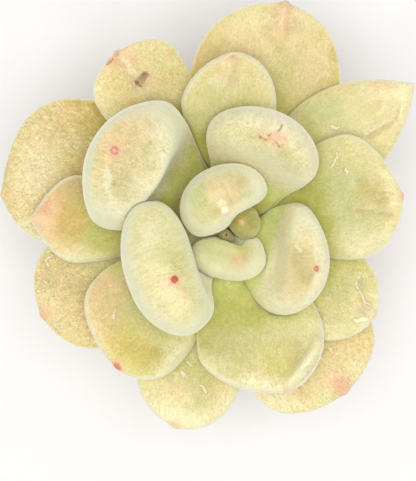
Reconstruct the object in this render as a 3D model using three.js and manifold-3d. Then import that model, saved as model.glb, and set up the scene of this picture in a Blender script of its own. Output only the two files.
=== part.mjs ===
import * as THREE from 'three';
import { mergeVertices } from 'three/addons/utils/BufferGeometryUtils.js';
import Module from 'manifold-3d';

// Echeveria rosette in a small clay pot. Millimetres, +Z up.
// The origin is on the pot's axis, on the surface that the pot stands on.

const degree = Math.PI / 180;

// Pot
const potHeight = 48;
const potSides = 48;
const footRadius = 17.5;
const rimRadius = 26;
const rimBandHeight = 11;
const rimBandStep = 1.6;
const potWall = 2.8;
const potFloor = 3.2;
const potEdge = 0.8;
const drainHoleRadius = 2.6;
const drainHoleOffset = 8.5;
const drainHoleCount = 3;
const drainHoleSides = 16;

// Soil
const soilLevel = potHeight - 5;
const soilSides = 40;
const soilRings = 7;
const soilUnevenness = 0.25;
const gritCount = 70;
const gritSize = [1.4, 2.6];
const gritHeight = 0.9;
const gritSeed = 11;

// Crown: the leaves follow one another down the stem, each a golden angle on from the last.
const goldenAngle = 137.5;
const firstTurn = 167.5;
const crownTop = 66.5;
const leafSpacing = 0.6;
const rootRadius = 1.4;
const rootRadiusStep = 0.1;

// Stem
const stemSides = 14;
const stemRadiusAtSoil = 4.4;
const stemFootRadius = 3;
const stemDepth = 9;
const stemShoulderDepth = 6;
const stemOverRoots = 0.5;
const stemTop = crownTop - 1;
const stemTopDome = 0.4;
const scarHeight = 0.15;
const scarSpacing = 2.4;

// The space kept between one piece and the next where they press together.
const contactGap = 0.3;

// Leaf sections: shares of the full width and thickness
const leafRings = 10;
const leafSides = 14;
const midlineSteps = 96;
const seatLength = 0.22;
const seatWidth = 0.35;
const seatThickness = 0.55;
const rootThickness = 0.4;
const backShare = 0.55;
const tipPoint = 0.9;
const notchWidth = 0.32;

// One row for each leaf, from the growing point outward. Lengths in millimetres, angles in degrees.
// lean: how far the leaf stands off its place on the spiral, counter-clockwise
// rise: how steeply the leaf climbs at its root and at its tip; bend: how late it turns up
// sweep, twist: sideways curve of the leaf, and its turn about its own length
// widest, fattest: where along the leaf it is widest and thickest, 0 at the root and 1 at the tip
// neck, flare, club: width near the root, how late the blade widens, how late it thickens
// cup: how far the two halves fold up; skew: how much wider the right half is than the left
// point: 0 for a round tip and 1 for a pointed one; round, blunt: how square the tip is
// lobe: under 1 for full, round halves; notch: depth of the crease down the upper face
const plainLeaf = {
  lean: 0, bend: 1, sweep: 0, twist: 0, widest: 0.62, fattest: 0.62, neck: 0.5, flare: 1.6, club: 1.6,
  cup: 0.12, skew: 0, point: 0, round: 2, blunt: 2.2, lobe: 1, notch: 0,
};
const leafTable = [
  { lean: 20, length: 4, width: 4.4, thick: 2.6, rise: [60, 85], cup: 0.2 },
  { lean: 15, length: 7, width: 7, thick: 3.5, rise: [50, 85], cup: 0.2 },
  { lean: 19.5, length: 10.5, width: 16.5, thick: 7.5, rise: [25, 88], cup: 0.3, fattest: 0.7, club: 2.5,
    widest: 0.66, flare: 2.4, skew: 0.1, notch: 0.25, twist: 12, lobe: 0.75 },
  { lean: -3, length: 20.5, width: 17, thick: 11, rise: [48, 118], cup: 0.2, neck: 0.4, fattest: 0.74,
    club: 3, widest: 0.7, flare: 3, notch: 0.3, skew: -0.03, lobe: 0.8 },
  { lean: -3.5, length: 22, width: 21.5, thick: 10.5, rise: [12, 84], cup: 0.2, fattest: 0.74, club: 3,
    widest: 0.68, flare: 2.6, twist: -22, skew: 0.04, lobe: 0.75 },
  { lean: 18, length: 25, width: 25, thick: 12.6, rise: [5, 98], bend: 1.2, neck: 0.4, fattest: 0.76,
    club: 3.5, widest: 0.7, flare: 3, twist: 26, skew: 0.16, lobe: 0.65 },
  { lean: 3.5, length: 27.5, width: 23, thick: 11, rise: [10, 88], cup: 0.2, neck: 0.6, fattest: 0.76,
    club: 3, widest: 0.68, flare: 2.6, skew: -0.06, lobe: 0.8 },
  { lean: -1, length: 32.5, width: 26, thick: 8, rise: [5, 40], cup: 0.15, sweep: 8 },
  { lean: -0.5, length: 35.5, width: 26, thick: 12.5, rise: [0, 104], bend: 1.4, cup: 0.08, neck: 0.45,
    fattest: 0.8, club: 4, widest: 0.72, flare: 3, blunt: 2.6, skew: 0.05, lobe: 0.75 },
  { lean: 4, length: 32.5, width: 25, thick: 7, rise: [8, 30], cup: 0.15 },
  { lean: -5.5, length: 36, width: 22.5, thick: 7.5, rise: [0, 45], cup: 0.15, sweep: 4, round: 2.3 },
  { lean: -4, length: 34.5, width: 19, thick: 7.5, rise: [8, 45], cup: 0.15, sweep: -4 },
  { lean: 11.5, length: 30.5, width: 18, thick: 6.5, rise: [1, 30] },
  { lean: -3, length: 37.5, width: 18, thick: 6.5, rise: [1, 30], point: 0.6 },
  { lean: -3.5, length: 42, width: 18, thick: 6.5, rise: [3, 20], point: 0.7, widest: 0.6 },
  { lean: -10.5, length: 38.5, width: 21.5, thick: 7, rise: [3, 30], skew: 0.1 },
  { lean: -5.5, length: 39.5, width: 24, thick: 7, rise: [3, 35], skew: -0.1, round: 2.3 },
  { lean: -3, length: 24, width: 15, thick: 5, rise: [-4, 10] },
  { lean: -9, length: 39.5, width: 21.5, thick: 6.5, rise: [0, 25], round: 2.4 },
  { lean: 1, length: 42, width: 29.5, thick: 7, rise: [0, 20], cup: 0.1, sweep: -8, round: 2.5 },
  { lean: 5.5, length: 38.5, width: 26, thick: 7, rise: [0, 20], round: 2.4 },
  { lean: 3, length: 43.8, width: 29.5, thick: 7, rise: [-3, 16], cup: 0.1, skew: 0.04, round: 2.8 },
  { lean: 0, length: 28, width: 16, thick: 6, rise: [-2, 12] },
  { lean: 0, length: 29, width: 16, thick: 6, rise: [-2, 12] },
];
const crownFoot = crownTop - leafSpacing * leafTable.length;

const wasm = await Module();
wasm.setup();

function lerp(a, b, t) {
  return a + (b - a) * t;
}

function clamp(t) {
  return Math.min(1, Math.max(0, t));
}

function smooth(t) {
  const x = clamp(t);
  return x * x * (3 - 2 * x);
}

// Rises from 0 to 1 along a quarter of a sine wave, later for a higher power.
function quarterWave(t, power) {
  return Math.sin((Math.PI / 2) * clamp(t)) ** power;
}

function seededRandom(seed) {
  let state = seed;
  return () => {
    state = (state * 16807) % 2147483647;
    return (state - 1) / 2147483646;
  };
}

function toSolid(geometry) {
  return new wasm.Manifold(new wasm.Mesh({
    numProp: 3,
    vertProperties: new Float32Array(geometry.attributes.position.array),
    triVerts: new Uint32Array(geometry.index.array),
  }));
}

function toGeometry(solid) {
  const mesh = solid.getMesh();
  const geometry = new THREE.BufferGeometry();
  geometry.setAttribute('position', new THREE.Float32BufferAttribute(mesh.vertProperties, 3));
  geometry.setIndex([...mesh.triVerts]);
  return geometry;
}

function withSharedPoints(geometry) {
  geometry.deleteAttribute('normal');
  geometry.deleteAttribute('uv');
  return mergeVertices(geometry, 1e-5);
}

// A body turned about +Z, from a profile of [radius, height] pairs.
function turned(profile, sides) {
  const points = profile.map(([radius, height]) => new THREE.Vector2(radius, height));
  return withSharedPoints(new THREE.LatheGeometry(points, sides).rotateX(Math.PI / 2));
}

// A copy with every point moved outward, to cut a neighbour clear of the piece.
function swollen(geometry, by) {
  const copy = geometry.clone();
  copy.computeVertexNormals();
  const { position, normal } = copy.attributes;
  const point = new THREE.Vector3();
  const outward = new THREE.Vector3();
  for (let i = 0; i < position.count; i += 1) {
    point.fromBufferAttribute(position, i);
    point.addScaledVector(outward.fromBufferAttribute(normal, i), by);
    position.setXYZ(i, point.x, point.y, point.z);
  }
  return copy;
}

function largestPart(solid) {
  return solid.decompose().reduce((a, b) => (b.volume() > a.volume() ? b : a));
}

// Radius of the pot's outside below the rim band, and of its inside.
function potOuterRadius(z) {
  return lerp(footRadius, rimRadius - rimBandStep, Math.min(1, z / (potHeight - rimBandHeight)));
}

function potInnerRadius(z) {
  return potOuterRadius(z) - potWall;
}

function makePot() {
  const bandFoot = potHeight - rimBandHeight;
  const mouth = potInnerRadius(potHeight);
  const body = turned([
    [0, 0],
    [footRadius - potEdge, 0],
    [footRadius, potEdge],
    [potOuterRadius(bandFoot), bandFoot],
    [rimRadius - potEdge / 2, bandFoot + potEdge / 2],
    [rimRadius, bandFoot + potEdge],
    [rimRadius, potHeight - potEdge],
    [rimRadius - potEdge, potHeight],
    [mouth + potEdge, potHeight],
    [mouth, potHeight - potEdge],
    [mouth, bandFoot],
    [potInnerRadius(potFloor), potFloor],
    [0, potFloor],
  ], potSides);
  let solid = toSolid(body);
  for (let i = 0; i < drainHoleCount; i += 1) {
    const angle = (2 * Math.PI * i) / drainHoleCount;
    const bore = new THREE.CylinderGeometry(drainHoleRadius, drainHoleRadius, 3 * potFloor, drainHoleSides);
    bore.rotateX(Math.PI / 2);
    bore.translate(drainHoleOffset * Math.cos(angle), drainHoleOffset * Math.sin(angle), potFloor / 2);
    solid = solid.subtract(toSolid(withSharedPoints(bore)));
  }
  return toGeometry(solid);
}

// Height of the soil's surface over its level: half-buried grit, as domes on gently uneven soil.
function gritRelief() {
  const random = seededRandom(gritSeed);
  const inside = stemRadiusAtSoil + gritSize[1];
  const outside = potInnerRadius(soilLevel) - gritSize[1];
  const stones = [];
  for (let i = 0; i < gritCount; i += 1) {
    const distance = lerp(inside, outside, Math.sqrt(random()));
    const angle = 2 * Math.PI * random();
    const size = lerp(gritSize[0], gritSize[1], random());
    stones.push({ x: distance * Math.cos(angle), y: distance * Math.sin(angle), size });
  }
  return (x, y) => {
    let height = 0;
    for (const stone of stones) {
      const share = Math.hypot(x - stone.x, y - stone.y) / stone.size;
      height = Math.max(height, gritHeight * Math.sqrt(1 - clamp(share) ** 2));
    }
    return height + soilUnevenness * Math.sin(x / 3.2 + 0.8) * Math.cos(y / 3.7 - 0.4);
  };
}

// The soil fills the pot, with a plain hole for the stem.
function makeSoil() {
  const bottom = potFloor + contactGap;
  const bandFoot = potHeight - rimBandHeight;
  const hole = stemRadiusAtSoil + contactGap;
  const holeFloor = soilLevel - stemDepth - contactGap;
  const outer = (z) => potInnerRadius(z) - contactGap;
  const profile = [[0, bottom], [outer(bottom), bottom], [outer(bandFoot), bandFoot]];
  for (let i = soilRings; i >= 0; i -= 1) {
    profile.push([lerp(hole, outer(soilLevel), i / soilRings), soilLevel]);
  }
  profile.push([hole, holeFloor], [0, holeFloor]);
  const geometry = turned(profile, soilSides);
  const relief = gritRelief();
  const { position } = geometry.attributes;
  for (let i = 0; i < position.count; i += 1) {
    const onTop = position.getZ(i) > bandFoot + contactGap;
    if (onTop) position.setZ(i, soilLevel + relief(position.getX(i), position.getY(i)));
  }
  return geometry;
}

// The stem tapers with the leaves' seats, and below them it has the low ridges that old leaves left.
function stemRadius(z) {
  if (z > crownFoot) return rootRadius + (rootRadiusStep * (crownTop - z)) / leafSpacing + stemOverRoots;
  const share = clamp((crownFoot - z) / (crownFoot - soilLevel));
  const scar = scarHeight * Math.sin((2 * Math.PI * (z - crownFoot)) / scarSpacing);
  return lerp(stemRadius(crownFoot + 1e-6), stemRadiusAtSoil - scarHeight, share) + scar;
}

function makeStem() {
  const bottom = soilLevel - stemDepth;
  const profile = [[0, bottom], [stemFootRadius, bottom]];
  for (let z = soilLevel - stemShoulderDepth; z < crownFoot; z += scarSpacing / 2) {
    profile.push([stemRadius(z), z]);
  }
  profile.push([stemRadius(crownFoot), crownFoot], [stemRadius(stemTop), stemTop]);
  profile.push([0, stemTop + stemTopDome]);
  return turned(profile, stemSides);
}

// The leaf's middle line from root to tip, with the directions along it, to its right and upward.
function leafMidline(leaf) {
  const turn = firstTurn - goldenAngle * leaf.order + leaf.lean;
  const root = rootRadius + rootRadiusStep * leaf.order;
  const point = new THREE.Vector3(root * Math.cos(turn * degree), root * Math.sin(turn * degree),
    crownTop - leafSpacing * leaf.order);
  const line = [];
  for (let i = 0; i <= midlineSteps; i += 1) {
    const s = i / midlineSteps;
    const rise = lerp(leaf.rise[0], leaf.rise[1], s ** leaf.bend) * degree;
    const heading = (turn + leaf.sweep * (s - 0.5)) * degree;
    const twist = leaf.twist * s * degree;
    const along = new THREE.Vector3(Math.cos(rise) * Math.cos(heading),
      Math.cos(rise) * Math.sin(heading), Math.sin(rise));
    if (i > 0) {
      const halfway = along.clone().add(line[i - 1].along).normalize();
      point.addScaledVector(halfway, leaf.length / midlineSteps);
    }
    const across = new THREE.Vector3(Math.sin(heading), -Math.cos(heading), 0).applyAxisAngle(along, -twist);
    const up = new THREE.Vector3().crossVectors(across, along);
    line.push({ point: point.clone(), along, across, up });
  }
  return line;
}

function leafSection(leaf, line, s) {
  const at = Math.min(midlineSteps - 1, Math.floor(s * midlineSteps));
  const between = (name) => line[at][name].clone().lerp(line[at + 1][name], s * midlineSteps - at);
  const towardWidest = s / leaf.widest;
  const pastWidest = clamp((s - leaf.widest) / (1 - leaf.widest));
  const pastFattest = clamp((s - leaf.fattest) / (1 - leaf.fattest));
  const seat = smooth(s / seatLength);
  const widening = lerp(leaf.neck, 1, quarterWave(towardWidest, leaf.flare));
  const closing = (1 - pastWidest ** leaf.round) ** (0.5 + 0.5 * leaf.point);
  const thickening = lerp(rootThickness, 1, quarterWave(s / leaf.fattest, leaf.club));
  const thinning = Math.sqrt(1 - pastFattest ** leaf.blunt);
  return {
    point: between('point'),
    across: between('across').normalize(),
    up: between('up').normalize(),
    halfWidth: (leaf.width / 2) * widening * closing * lerp(seatWidth, 1, seat),
    thick: leaf.thick * thickening * thinning * lerp(seatThickness, 1, seat),
    cup: leaf.cup * lerp(0.35, 1, clamp(towardWidest)),
    notch: leaf.notch * clamp((s - 0.35) / 0.4) * clamp(1.25 - pastWidest),
  };
}

// Point of the leaf's skin at an angle round its section, from its right edge over its upper face.
function skinPoint(leaf, section, angle) {
  const sideways = Math.cos(angle);
  const upward = Math.sin(angle);
  const onTop = upward > 1e-9;
  const half = section.halfWidth * (sideways > 0 ? 1 + leaf.skew : 1 - leaf.skew);
  const crease = onTop ? section.notch * Math.sqrt(upward) * Math.exp(-((sideways / notchWidth) ** 2)) : 0;
  const bulge = Math.abs(upward) ** leaf.lobe * (onTop ? 1 - backShare : -backShare);
  const lift = section.thick * (bulge - crease) + section.cup * half * sideways ** 2;
  return section.point.clone().addScaledVector(section.across, half * sideways)
    .addScaledVector(section.up, lift);
}

// Rings stand even distances apart up to the widest place, and close up toward the tip.
function ringStations(leaf) {
  const lower = leafRings / 2;
  return Array.from({ length: leafRings }, (_, i) => (i < lower ? (leaf.widest * i) / lower
    : lerp(leaf.widest, 1, quarterWave((i - lower) / (leafRings - lower), 1))));
}

function makeLeaf(leaf) {
  const line = leafMidline(leaf);
  const points = [];
  for (const s of ringStations(leaf)) {
    const section = leafSection(leaf, line, s);
    for (let j = 0; j < leafSides; j += 1) {
      points.push(skinPoint(leaf, section, (2 * Math.PI * j) / leafSides));
    }
  }
  const end = line[midlineSteps];
  const tip = points.push(end.point.clone().addScaledVector(end.along, tipPoint)) - 1;
  const root = points.push(line[0].point) - 1;
  const faces = [];
  for (let j = 0; j < leafSides; j += 1) {
    const k = (j + 1) % leafSides;
    for (let ring = 0; ring < (leafRings - 1) * leafSides; ring += leafSides) {
      const next = ring + leafSides;
      faces.push(ring + j, next + j, ring + k, ring + k, next + j, next + k);
    }
    const last = (leafRings - 1) * leafSides;
    faces.push(last + j, tip, last + k);
    faces.push(j, k, root);
  }
  const geometry = new THREE.BufferGeometry().setFromPoints(points);
  geometry.setIndex(faces);
  return geometry;
}

function makeMesh(name, geometry, color, roughness) {
  const material = new THREE.MeshStandardMaterial({ color, roughness, metalness: 0 });
  const mesh = new THREE.Mesh(geometry, material);
  mesh.name = name;
  return mesh;
}

// Each leaf is pressed clear of the stem and of the leaves over it.
function makeLeaves(stem) {
  const innerColor = new THREE.Color('#d3dfb4');
  const outerColor = new THREE.Color('#d8cf9a');
  const above = [toSolid(swollen(stem, contactGap))];
  return leafTable.map((row, order) => {
    const whole = makeLeaf({ ...plainLeaf, ...row, order });
    const clear = above.reduce((solid, other) => solid.subtract(other), toSolid(whole));
    above.push(toSolid(swollen(whole, contactGap)));
    const name = `leaf_${String(order + 1).padStart(2, '0')}`;
    const color = innerColor.clone().lerp(outerColor, order / leafTable.length);
    return makeMesh(name, toGeometry(largestPart(clear)), color, 0.45);
  });
}

const stem = makeStem();
const plant = new THREE.Group();
plant.add(makeMesh('pot', makePot(), '#b5704b', 0.85));
plant.add(makeMesh('soil', makeSoil(), '#5b4a3a', 0.95));
plant.add(makeMesh('stem', stem, '#a99a6a', 0.7));
plant.add(...makeLeaves(stem));

export default plant;
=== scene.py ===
import math
import random

import bmesh
import bpy
from mathutils import Matrix, Vector, noise
from mathutils.bvhtree import BVHTree


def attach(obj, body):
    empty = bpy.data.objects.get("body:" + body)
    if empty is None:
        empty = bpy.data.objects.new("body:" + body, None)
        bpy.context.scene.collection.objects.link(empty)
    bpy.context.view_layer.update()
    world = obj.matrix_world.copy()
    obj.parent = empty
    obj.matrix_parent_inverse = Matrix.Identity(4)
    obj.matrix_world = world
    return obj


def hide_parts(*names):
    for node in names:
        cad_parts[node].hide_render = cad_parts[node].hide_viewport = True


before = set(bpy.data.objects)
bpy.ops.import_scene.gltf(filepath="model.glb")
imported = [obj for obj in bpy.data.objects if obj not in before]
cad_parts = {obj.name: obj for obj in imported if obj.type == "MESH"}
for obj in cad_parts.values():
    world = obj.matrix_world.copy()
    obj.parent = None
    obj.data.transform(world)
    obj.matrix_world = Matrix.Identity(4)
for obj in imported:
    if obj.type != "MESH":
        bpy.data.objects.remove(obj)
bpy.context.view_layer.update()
mm = 0.001
print("frame loaded:", len(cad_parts), "nodes")

# Leaf values are millimetres and degrees, one row for each leaf from the growing point outward.
# lean turns a whole leaf, sweep bends it sideways and twist rolls it; rise is its slope at root and tip, and
# bend is how late it changes. widest and fattest are shares of the length; neck, flare, club, round, point
# and blunt shape a leaf along, and cup, skew, lobe, notch and topShare across. mucro is how far the tip's
# point stands out, and wave is the waves' height. A fold is (line of places along and across, depth, width).
crown = {
    "goldenAngle": 137.5,
    "firstTurn": 167.5,
    "top": 66.5,
    "spacing": 0.6,
    "rootRadius": 1.4,
    "rootStep": 0.1,
    "contactGap": 0.25,
}

plainLeaf = {
    "lean": 0, "bend": 1, "sweep": 0, "twist": 0, "widest": 0.62, "fattest": 0.62, "neck": 0.5,
    "flare": 1.6, "club": 1.6, "cup": 0.12, "skew": 0, "point": 0, "round": 2, "blunt": 2.2, "lobe": 1,
    "notch": 0, "notchSide": 0, "notchWidth": 0.32, "topShare": 0.45, "mucro": 0.35,
    "wave": 0.25, "folds": [],
}

leafRows = [
    {"lean": 58, "length": 3.5, "width": 3.5, "thick": 2.4, "rise": (80, 95), "cup": 0.2},
    {"lean": 5, "length": 7.5, "width": 7, "thick": 6, "rise": (72, 97), "fattest": 0.75, "club": 3,
     "cup": 0.1},
    {"lean": 29.5, "length": 9.5, "width": 14, "thick": 9.5, "rise": (52, 71), "bend": 1.4, "sweep": -21,
     "twist": 10, "flare": 3.5, "fattest": 0.65, "club": 5, "cup": 0.14, "skew": 0.3, "lobe": 0.7,
     "notch": 0.35, "mucro": 0.5, "wave": 0.12},
    {"lean": 2, "length": 17, "width": 16.5, "thick": 11.5, "rise": (55, 108), "bend": 0.9, "sweep": 11,
     "twist": -6, "widest": 0.68, "flare": 4, "neck": 0.4, "fattest": 0.75, "club": 3.5, "cup": 0.18,
     "skew": 0.1, "notch": 0.3, "notchSide": 0.25, "topShare": 0.35, "mucro": 0.5, "wave": 0.12},
    {"lean": -3.5, "length": 21.5, "width": 21.5, "thick": 9, "rise": (6, 75), "sweep": -7, "twist": -26,
     "widest": 0.56, "flare": 1.5, "fattest": 0.8, "club": 2, "cup": 0.18, "skew": 0.05, "lobe": 0.8,
     "notch": 0.05, "topShare": 0.55, "mucro": 0.5, "wave": 0.12},
    {"lean": 20, "length": 26, "width": 25, "thick": 15, "rise": (2, 102), "bend": 0.8, "sweep": -5,
     "twist": 14, "widest": 0.78, "flare": 4, "neck": 0.4, "fattest": 0.8, "club": 5, "cup": 0.2,
     "skew": 0.2, "lobe": 0.8, "notch": 0.2, "notchSide": -0.3, "notchWidth": 0.6, "mucro": 0.5,
     "wave": 0.12},
    {"lean": 1, "length": 26.5, "width": 21, "thick": 10.5, "rise": (19, 79), "sweep": -13, "twist": -6,
     "widest": 0.7, "flare": 3.5, "neck": 0.6, "fattest": 0.75, "club": 4, "cup": 0.2, "skew": -0.1,
     "lobe": 0.75, "notch": 0.05, "notchSide": 0.1, "topShare": 0.35, "mucro": 0.5, "wave": 0.12},
    {"lean": 4, "length": 33, "width": 24.5, "thick": 8, "rise": (5, 40), "sweep": -11, "widest": 0.66,
     "flare": 1.5, "cup": 0.16, "skew": 0.2, "point": 0.1, "round": 1.6,
     "folds": [([(26, -10), (29, -7), (31, -3.5), (32, -1)], -1.3, 1.0), ([(25, -6), (29, -3.5)], 0.6, 1.4),
               ([(32.5, 0), (32.5, 1.5)], -0.6, 1.0)]},
    {"lean": -1, "length": 34.5, "width": 26, "thick": 15, "rise": (11, 95), "bend": 1.8, "sweep": -1,
     "twist": -4, "widest": 0.68, "flare": 2.5, "neck": 0.45, "fattest": 0.85, "club": 5, "cup": 0.2,
     "blunt": 2.6, "lobe": 0.65, "topShare": 0.65, "mucro": 0.5, "wave": 0.12},
    {"lean": 1, "length": 32.5, "width": 24, "thick": 7, "rise": (8, 30), "sweep": 1, "widest": 0.7,
     "flare": 2.5, "cup": 0.16, "skew": -0.15, "point": 0.2, "round": 2.1,
     "folds": [([(24.5, 2), (30, 4)], 0.7, 0.7), ([(25, -4), (29, -3)], 0.5, 0.7),
               ([(20, -1), (29, 0)], 0.4, 1.0)]},
    {"lean": -2.5, "length": 35, "width": 23, "thick": 7.5, "rise": (0, 45), "sweep": -5, "widest": 0.66,
     "flare": 2.5, "cup": 0.16, "skew": 0.25, "round": 2.7},
    {"lean": -5, "length": 34.5, "width": 18, "thick": 7.5, "rise": (8, 45), "sweep": 13, "widest": 0.7,
     "flare": 3, "cup": 0.16, "skew": -0.15, "point": 0.1, "round": 1.8,
     "folds": [([(34.5, 0), (33.5, 1), (32, 0), (29, -1)], 0.9, 1.0)]},
    {"lean": 11.5, "length": 31, "width": 18.5, "thick": 6.5, "rise": (1, 30), "sweep": 4, "widest": 0.7,
     "flare": 1.5, "skew": 0.05, "round": 1.8,
     "folds": [([(25.5, -5), (28, -2), (30, -2)], 0.7, 0.8)]},
    {"lean": -3, "length": 37.5, "width": 17, "thick": 6.5, "rise": (1, 30), "widest": 0.76, "flare": 4,
     "skew": 0.05, "point": 1, "round": 1.9},
    {"lean": -4, "length": 43, "width": 19.5, "thick": 6.5, "rise": (3, 20), "sweep": -4, "widest": 0.56,
     "flare": 1.5, "skew": -0.05, "point": 0.8,
     "folds": [([(37.5, 1.5), (34.5, 3), (31, 2.5)], 1.1, 1.1), ([(36, -1), (31, -1)], 0.5, 1.0)]},
    {"lean": -11, "length": 38.5, "width": 21, "thick": 7, "rise": (3, 30), "sweep": -10, "widest": 0.7,
     "flare": 1.5, "skew": 0.1},
    {"lean": -4, "length": 40, "width": 19, "thick": 7, "rise": (3, 35), "sweep": 7, "widest": 0.8,
     "flare": 4, "skew": 0.05, "point": 0.1, "round": 2.8,
     "folds": [([(39, -1), (36, -0.5), (32, -0.5)], 0.9, 1.1)]},
    {"lean": -3, "length": 24, "width": 15, "thick": 5, "rise": (-4, 10)},
    {"lean": -8, "length": 38.5, "width": 23, "thick": 6.5, "rise": (0, 25), "sweep": 5, "widest": 0.7,
     "flare": 1.5, "skew": 0.05, "round": 2.8},
    {"lean": 1.5, "length": 43, "width": 29.5, "thick": 7, "rise": (0, 20), "sweep": 5, "flare": 1.5,
     "cup": 0.1, "skew": -0.05, "round": 2.1,
     "folds": [([(42, 0), (37, -0.5)], -0.9, 1.1)]},
    {"lean": 7.5, "length": 36.5, "width": 27.5, "thick": 7, "rise": (0, 20), "sweep": 9, "widest": 0.7,
     "flare": 1.5, "skew": 0.05, "round": 2.5},
    {"lean": 11.5, "length": 43, "width": 29.5, "thick": 7, "rise": (-3, 16), "sweep": 22, "widest": 0.64,
     "flare": 1.5, "cup": 0.1, "skew": 0.33, "point": 0.3, "round": 3},
    {"length": 28, "width": 16, "thick": 6, "rise": (-2, 12)},
    {"length": 29, "width": 16, "thick": 6, "rise": (-2, 12)},
]

leafMesh = {
    "rings": 60,
    "sides": 76,
    "midlineSteps": 120,
    "seatLength": 0.22,
    "seatWidth": 0.35,
    "seatThickness": 0.55,
    "rootThickness": 0.4,
    "rootCup": 0.35,
    "rootTopShare": 0.45,
    "notchFrom": 0.35,
    "notchRun": 0.4,
    "mucroRadius": 0.9,
    "marginCrowding": 0.5,
    "marginBlend": 1.5,
    "waveSize": 9.0,
    "dimpleSize": 2.6,
    "dimpleHeight": 0.035,
    "noiseStep": (13.7, 5.1, 9.3),
    "presses": 3,
    "pressDepth": 5.0,
    "pressSpread": 0.5,
}

# Each slot holds the leaves up to a count from the growing point.
leafSlots = {"leaf_inner": 5, "leaf_middle": 14, "leaf_outer": len(leafRows)}


def lerp(a, b, t):
    return a + (b - a) * t


def clamp(t):
    return min(1.0, max(0.0, t))


def smooth(t):
    x = clamp(t)
    return x * x * (3 - 2 * x)


def quarterWave(t, power=1.0):
    return math.sin(math.pi / 2 * clamp(t)) ** power


# Shader maths

class Wire:
    # One output socket; arithmetic on it adds Math nodes.
    def __init__(self, finish, socket):
        self.finish = finish
        self.socket = socket

    def math(self, operation, *values):
        return self.finish.node("ShaderNodeMath", {"operation": operation}, dict(enumerate(values)))

    def __add__(self, other):
        return self.math("ADD", self, other)

    def __radd__(self, other):
        return self.math("ADD", other, self)

    def __sub__(self, other):
        return self.math("SUBTRACT", self, other)

    def __rsub__(self, other):
        return self.math("SUBTRACT", other, self)

    def __mul__(self, other):
        return self.math("MULTIPLY", self, other)

    def __rmul__(self, other):
        return self.math("MULTIPLY", other, self)

    def atMost(self, other):
        return self.math("MINIMUM", self, other)

    def atLeast(self, other):
        return self.math("MAXIMUM", self, other)


class Finish:
    # A material being made: node() adds any node, settings first, and color is what is laid on so far.
    def __init__(self, name, color=None):
        self.material = bpy.data.materials.new(name)
        self.material.use_nodes = True
        self.tree = self.material.node_tree
        self.tree.nodes.clear()
        self.color = color

    def node(self, kind, settings=None, sockets=None, out=0):
        item = self.tree.nodes.new(kind)
        for key, value in (settings or {}).items():
            setattr(item, key, value)
        for key, value in (sockets or {}).items():
            if isinstance(value, Wire):
                self.tree.links.new(value.socket, item.inputs[key])
            else:
                item.inputs[key].default_value = value
        return Wire(self, item.outputs[out]) if len(item.outputs) else None

    def attribute(self, name):
        return self.node("ShaderNodeAttribute", {"attribute_name": name}, out="Fac")

    def position(self):
        return self.node("ShaderNodeTexCoord", out="Object")

    def heightOf(self, place):
        return self.node("ShaderNodeSeparateXYZ", {}, {"Vector": place}, out="Z")

    def noise(self, place, scale, detail, roughness=0.5, distortion=0.0, out="Fac"):
        return self.node("ShaderNodeTexNoise", {}, {"Vector": place, "Scale": scale, "Detail": detail,
                         "Roughness": roughness, "Distortion": distortion}, out)

    def cells(self, place, scale):
        return self.node("ShaderNodeTexVoronoi", {"feature": "F1"}, {"Vector": place, "Scale": scale},
                         out="Distance")

    def ramp(self, value, start, full, strength=1.0):
        # A smooth mask, 0 at start and strength at full; it falls where start is the greater.
        sockets = {"Value": value, "From Min": start, "From Max": full, "To Max": strength}
        return self.node("ShaderNodeMapRange", {"interpolation_type": "SMOOTHSTEP"}, sockets)

    def blend(self, mask, first, second):
        # Sockets 6 and 7 of a Mix node are its two colours, and output 2 is the mixed one.
        settings = {"data_type": "RGBA", "clamp_factor": True}
        return self.node("ShaderNodeMix", settings, {0: mask, 6: first, 7: second}, out=2)

    def lay(self, mask, color):
        self.color = self.blend(mask, self.color, color)

    def vector(self, operation, sockets, out=0):
        return self.node("ShaderNodeVectorMath", {"operation": operation}, sockets, out=out)

    def tonesAlong(self, share, stops):
        color = palette[stops[0][1]]
        for (low, _), (high, tone) in zip(stops, stops[1:]):
            color = self.blend(self.ramp(share, low, high), color, palette[tone])
        return color

    def distanceTo(self, place, *lines):
        # Distance from a place to the nearest of some lines, each of one or more points.
        nearest = None
        for first, last in [ends for line in lines for ends in zip(line, line[1:] or line)]:
            step = Vector(last) - Vector(first)
            spot = self.vector("SUBTRACT", {0: place, 1: first})
            if step.length > 0:
                turn = self.vector("DOT_PRODUCT", {0: spot, 1: step / step.length_squared}, out="Value")
                foot = self.vector("SCALE", {0: step, "Scale": turn.atLeast(0.0).atMost(1.0)})
                reach = self.vector("DISTANCE", {0: spot, 1: foot}, out="Value")
            else:
                reach = self.vector("LENGTH", {0: spot}, out="Value")
            nearest = reach if nearest is None else nearest.atMost(reach)
        return nearest

    def relief(self, fields, look):
        # The normal, from a look's shares of some height fields.
        height = sum(fields[key] * share for key, share in look["relief"].items() if key in fields)
        return self.node("ShaderNodeBump", {}, {"Height": height, "Distance": look["reliefDepth"] * mm,
                         "Strength": look["reliefStrength"]})

    def surface(self, **sockets):
        named = {key.replace("_", " "): value for key, value in sockets.items()}
        shader = self.node("ShaderNodeBsdfPrincipled", {}, {"Base Color": self.color, **named})
        self.node("ShaderNodeOutputMaterial", {}, {"Surface": shader})
        return self.material


def swing(value, size):
    # A noise value, counted from its middle.
    return (value - 0.5) * size


def rgb(red, green, blue):
    return (red, green, blue, 1.0)


def paint(*channels):
    # Display values from 0 to 255 as a colour for the shader, by the display's own curve.
    return rgb(*(((c / 255 + 0.055) / 1.055) ** 2.4 for c in channels))


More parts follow.
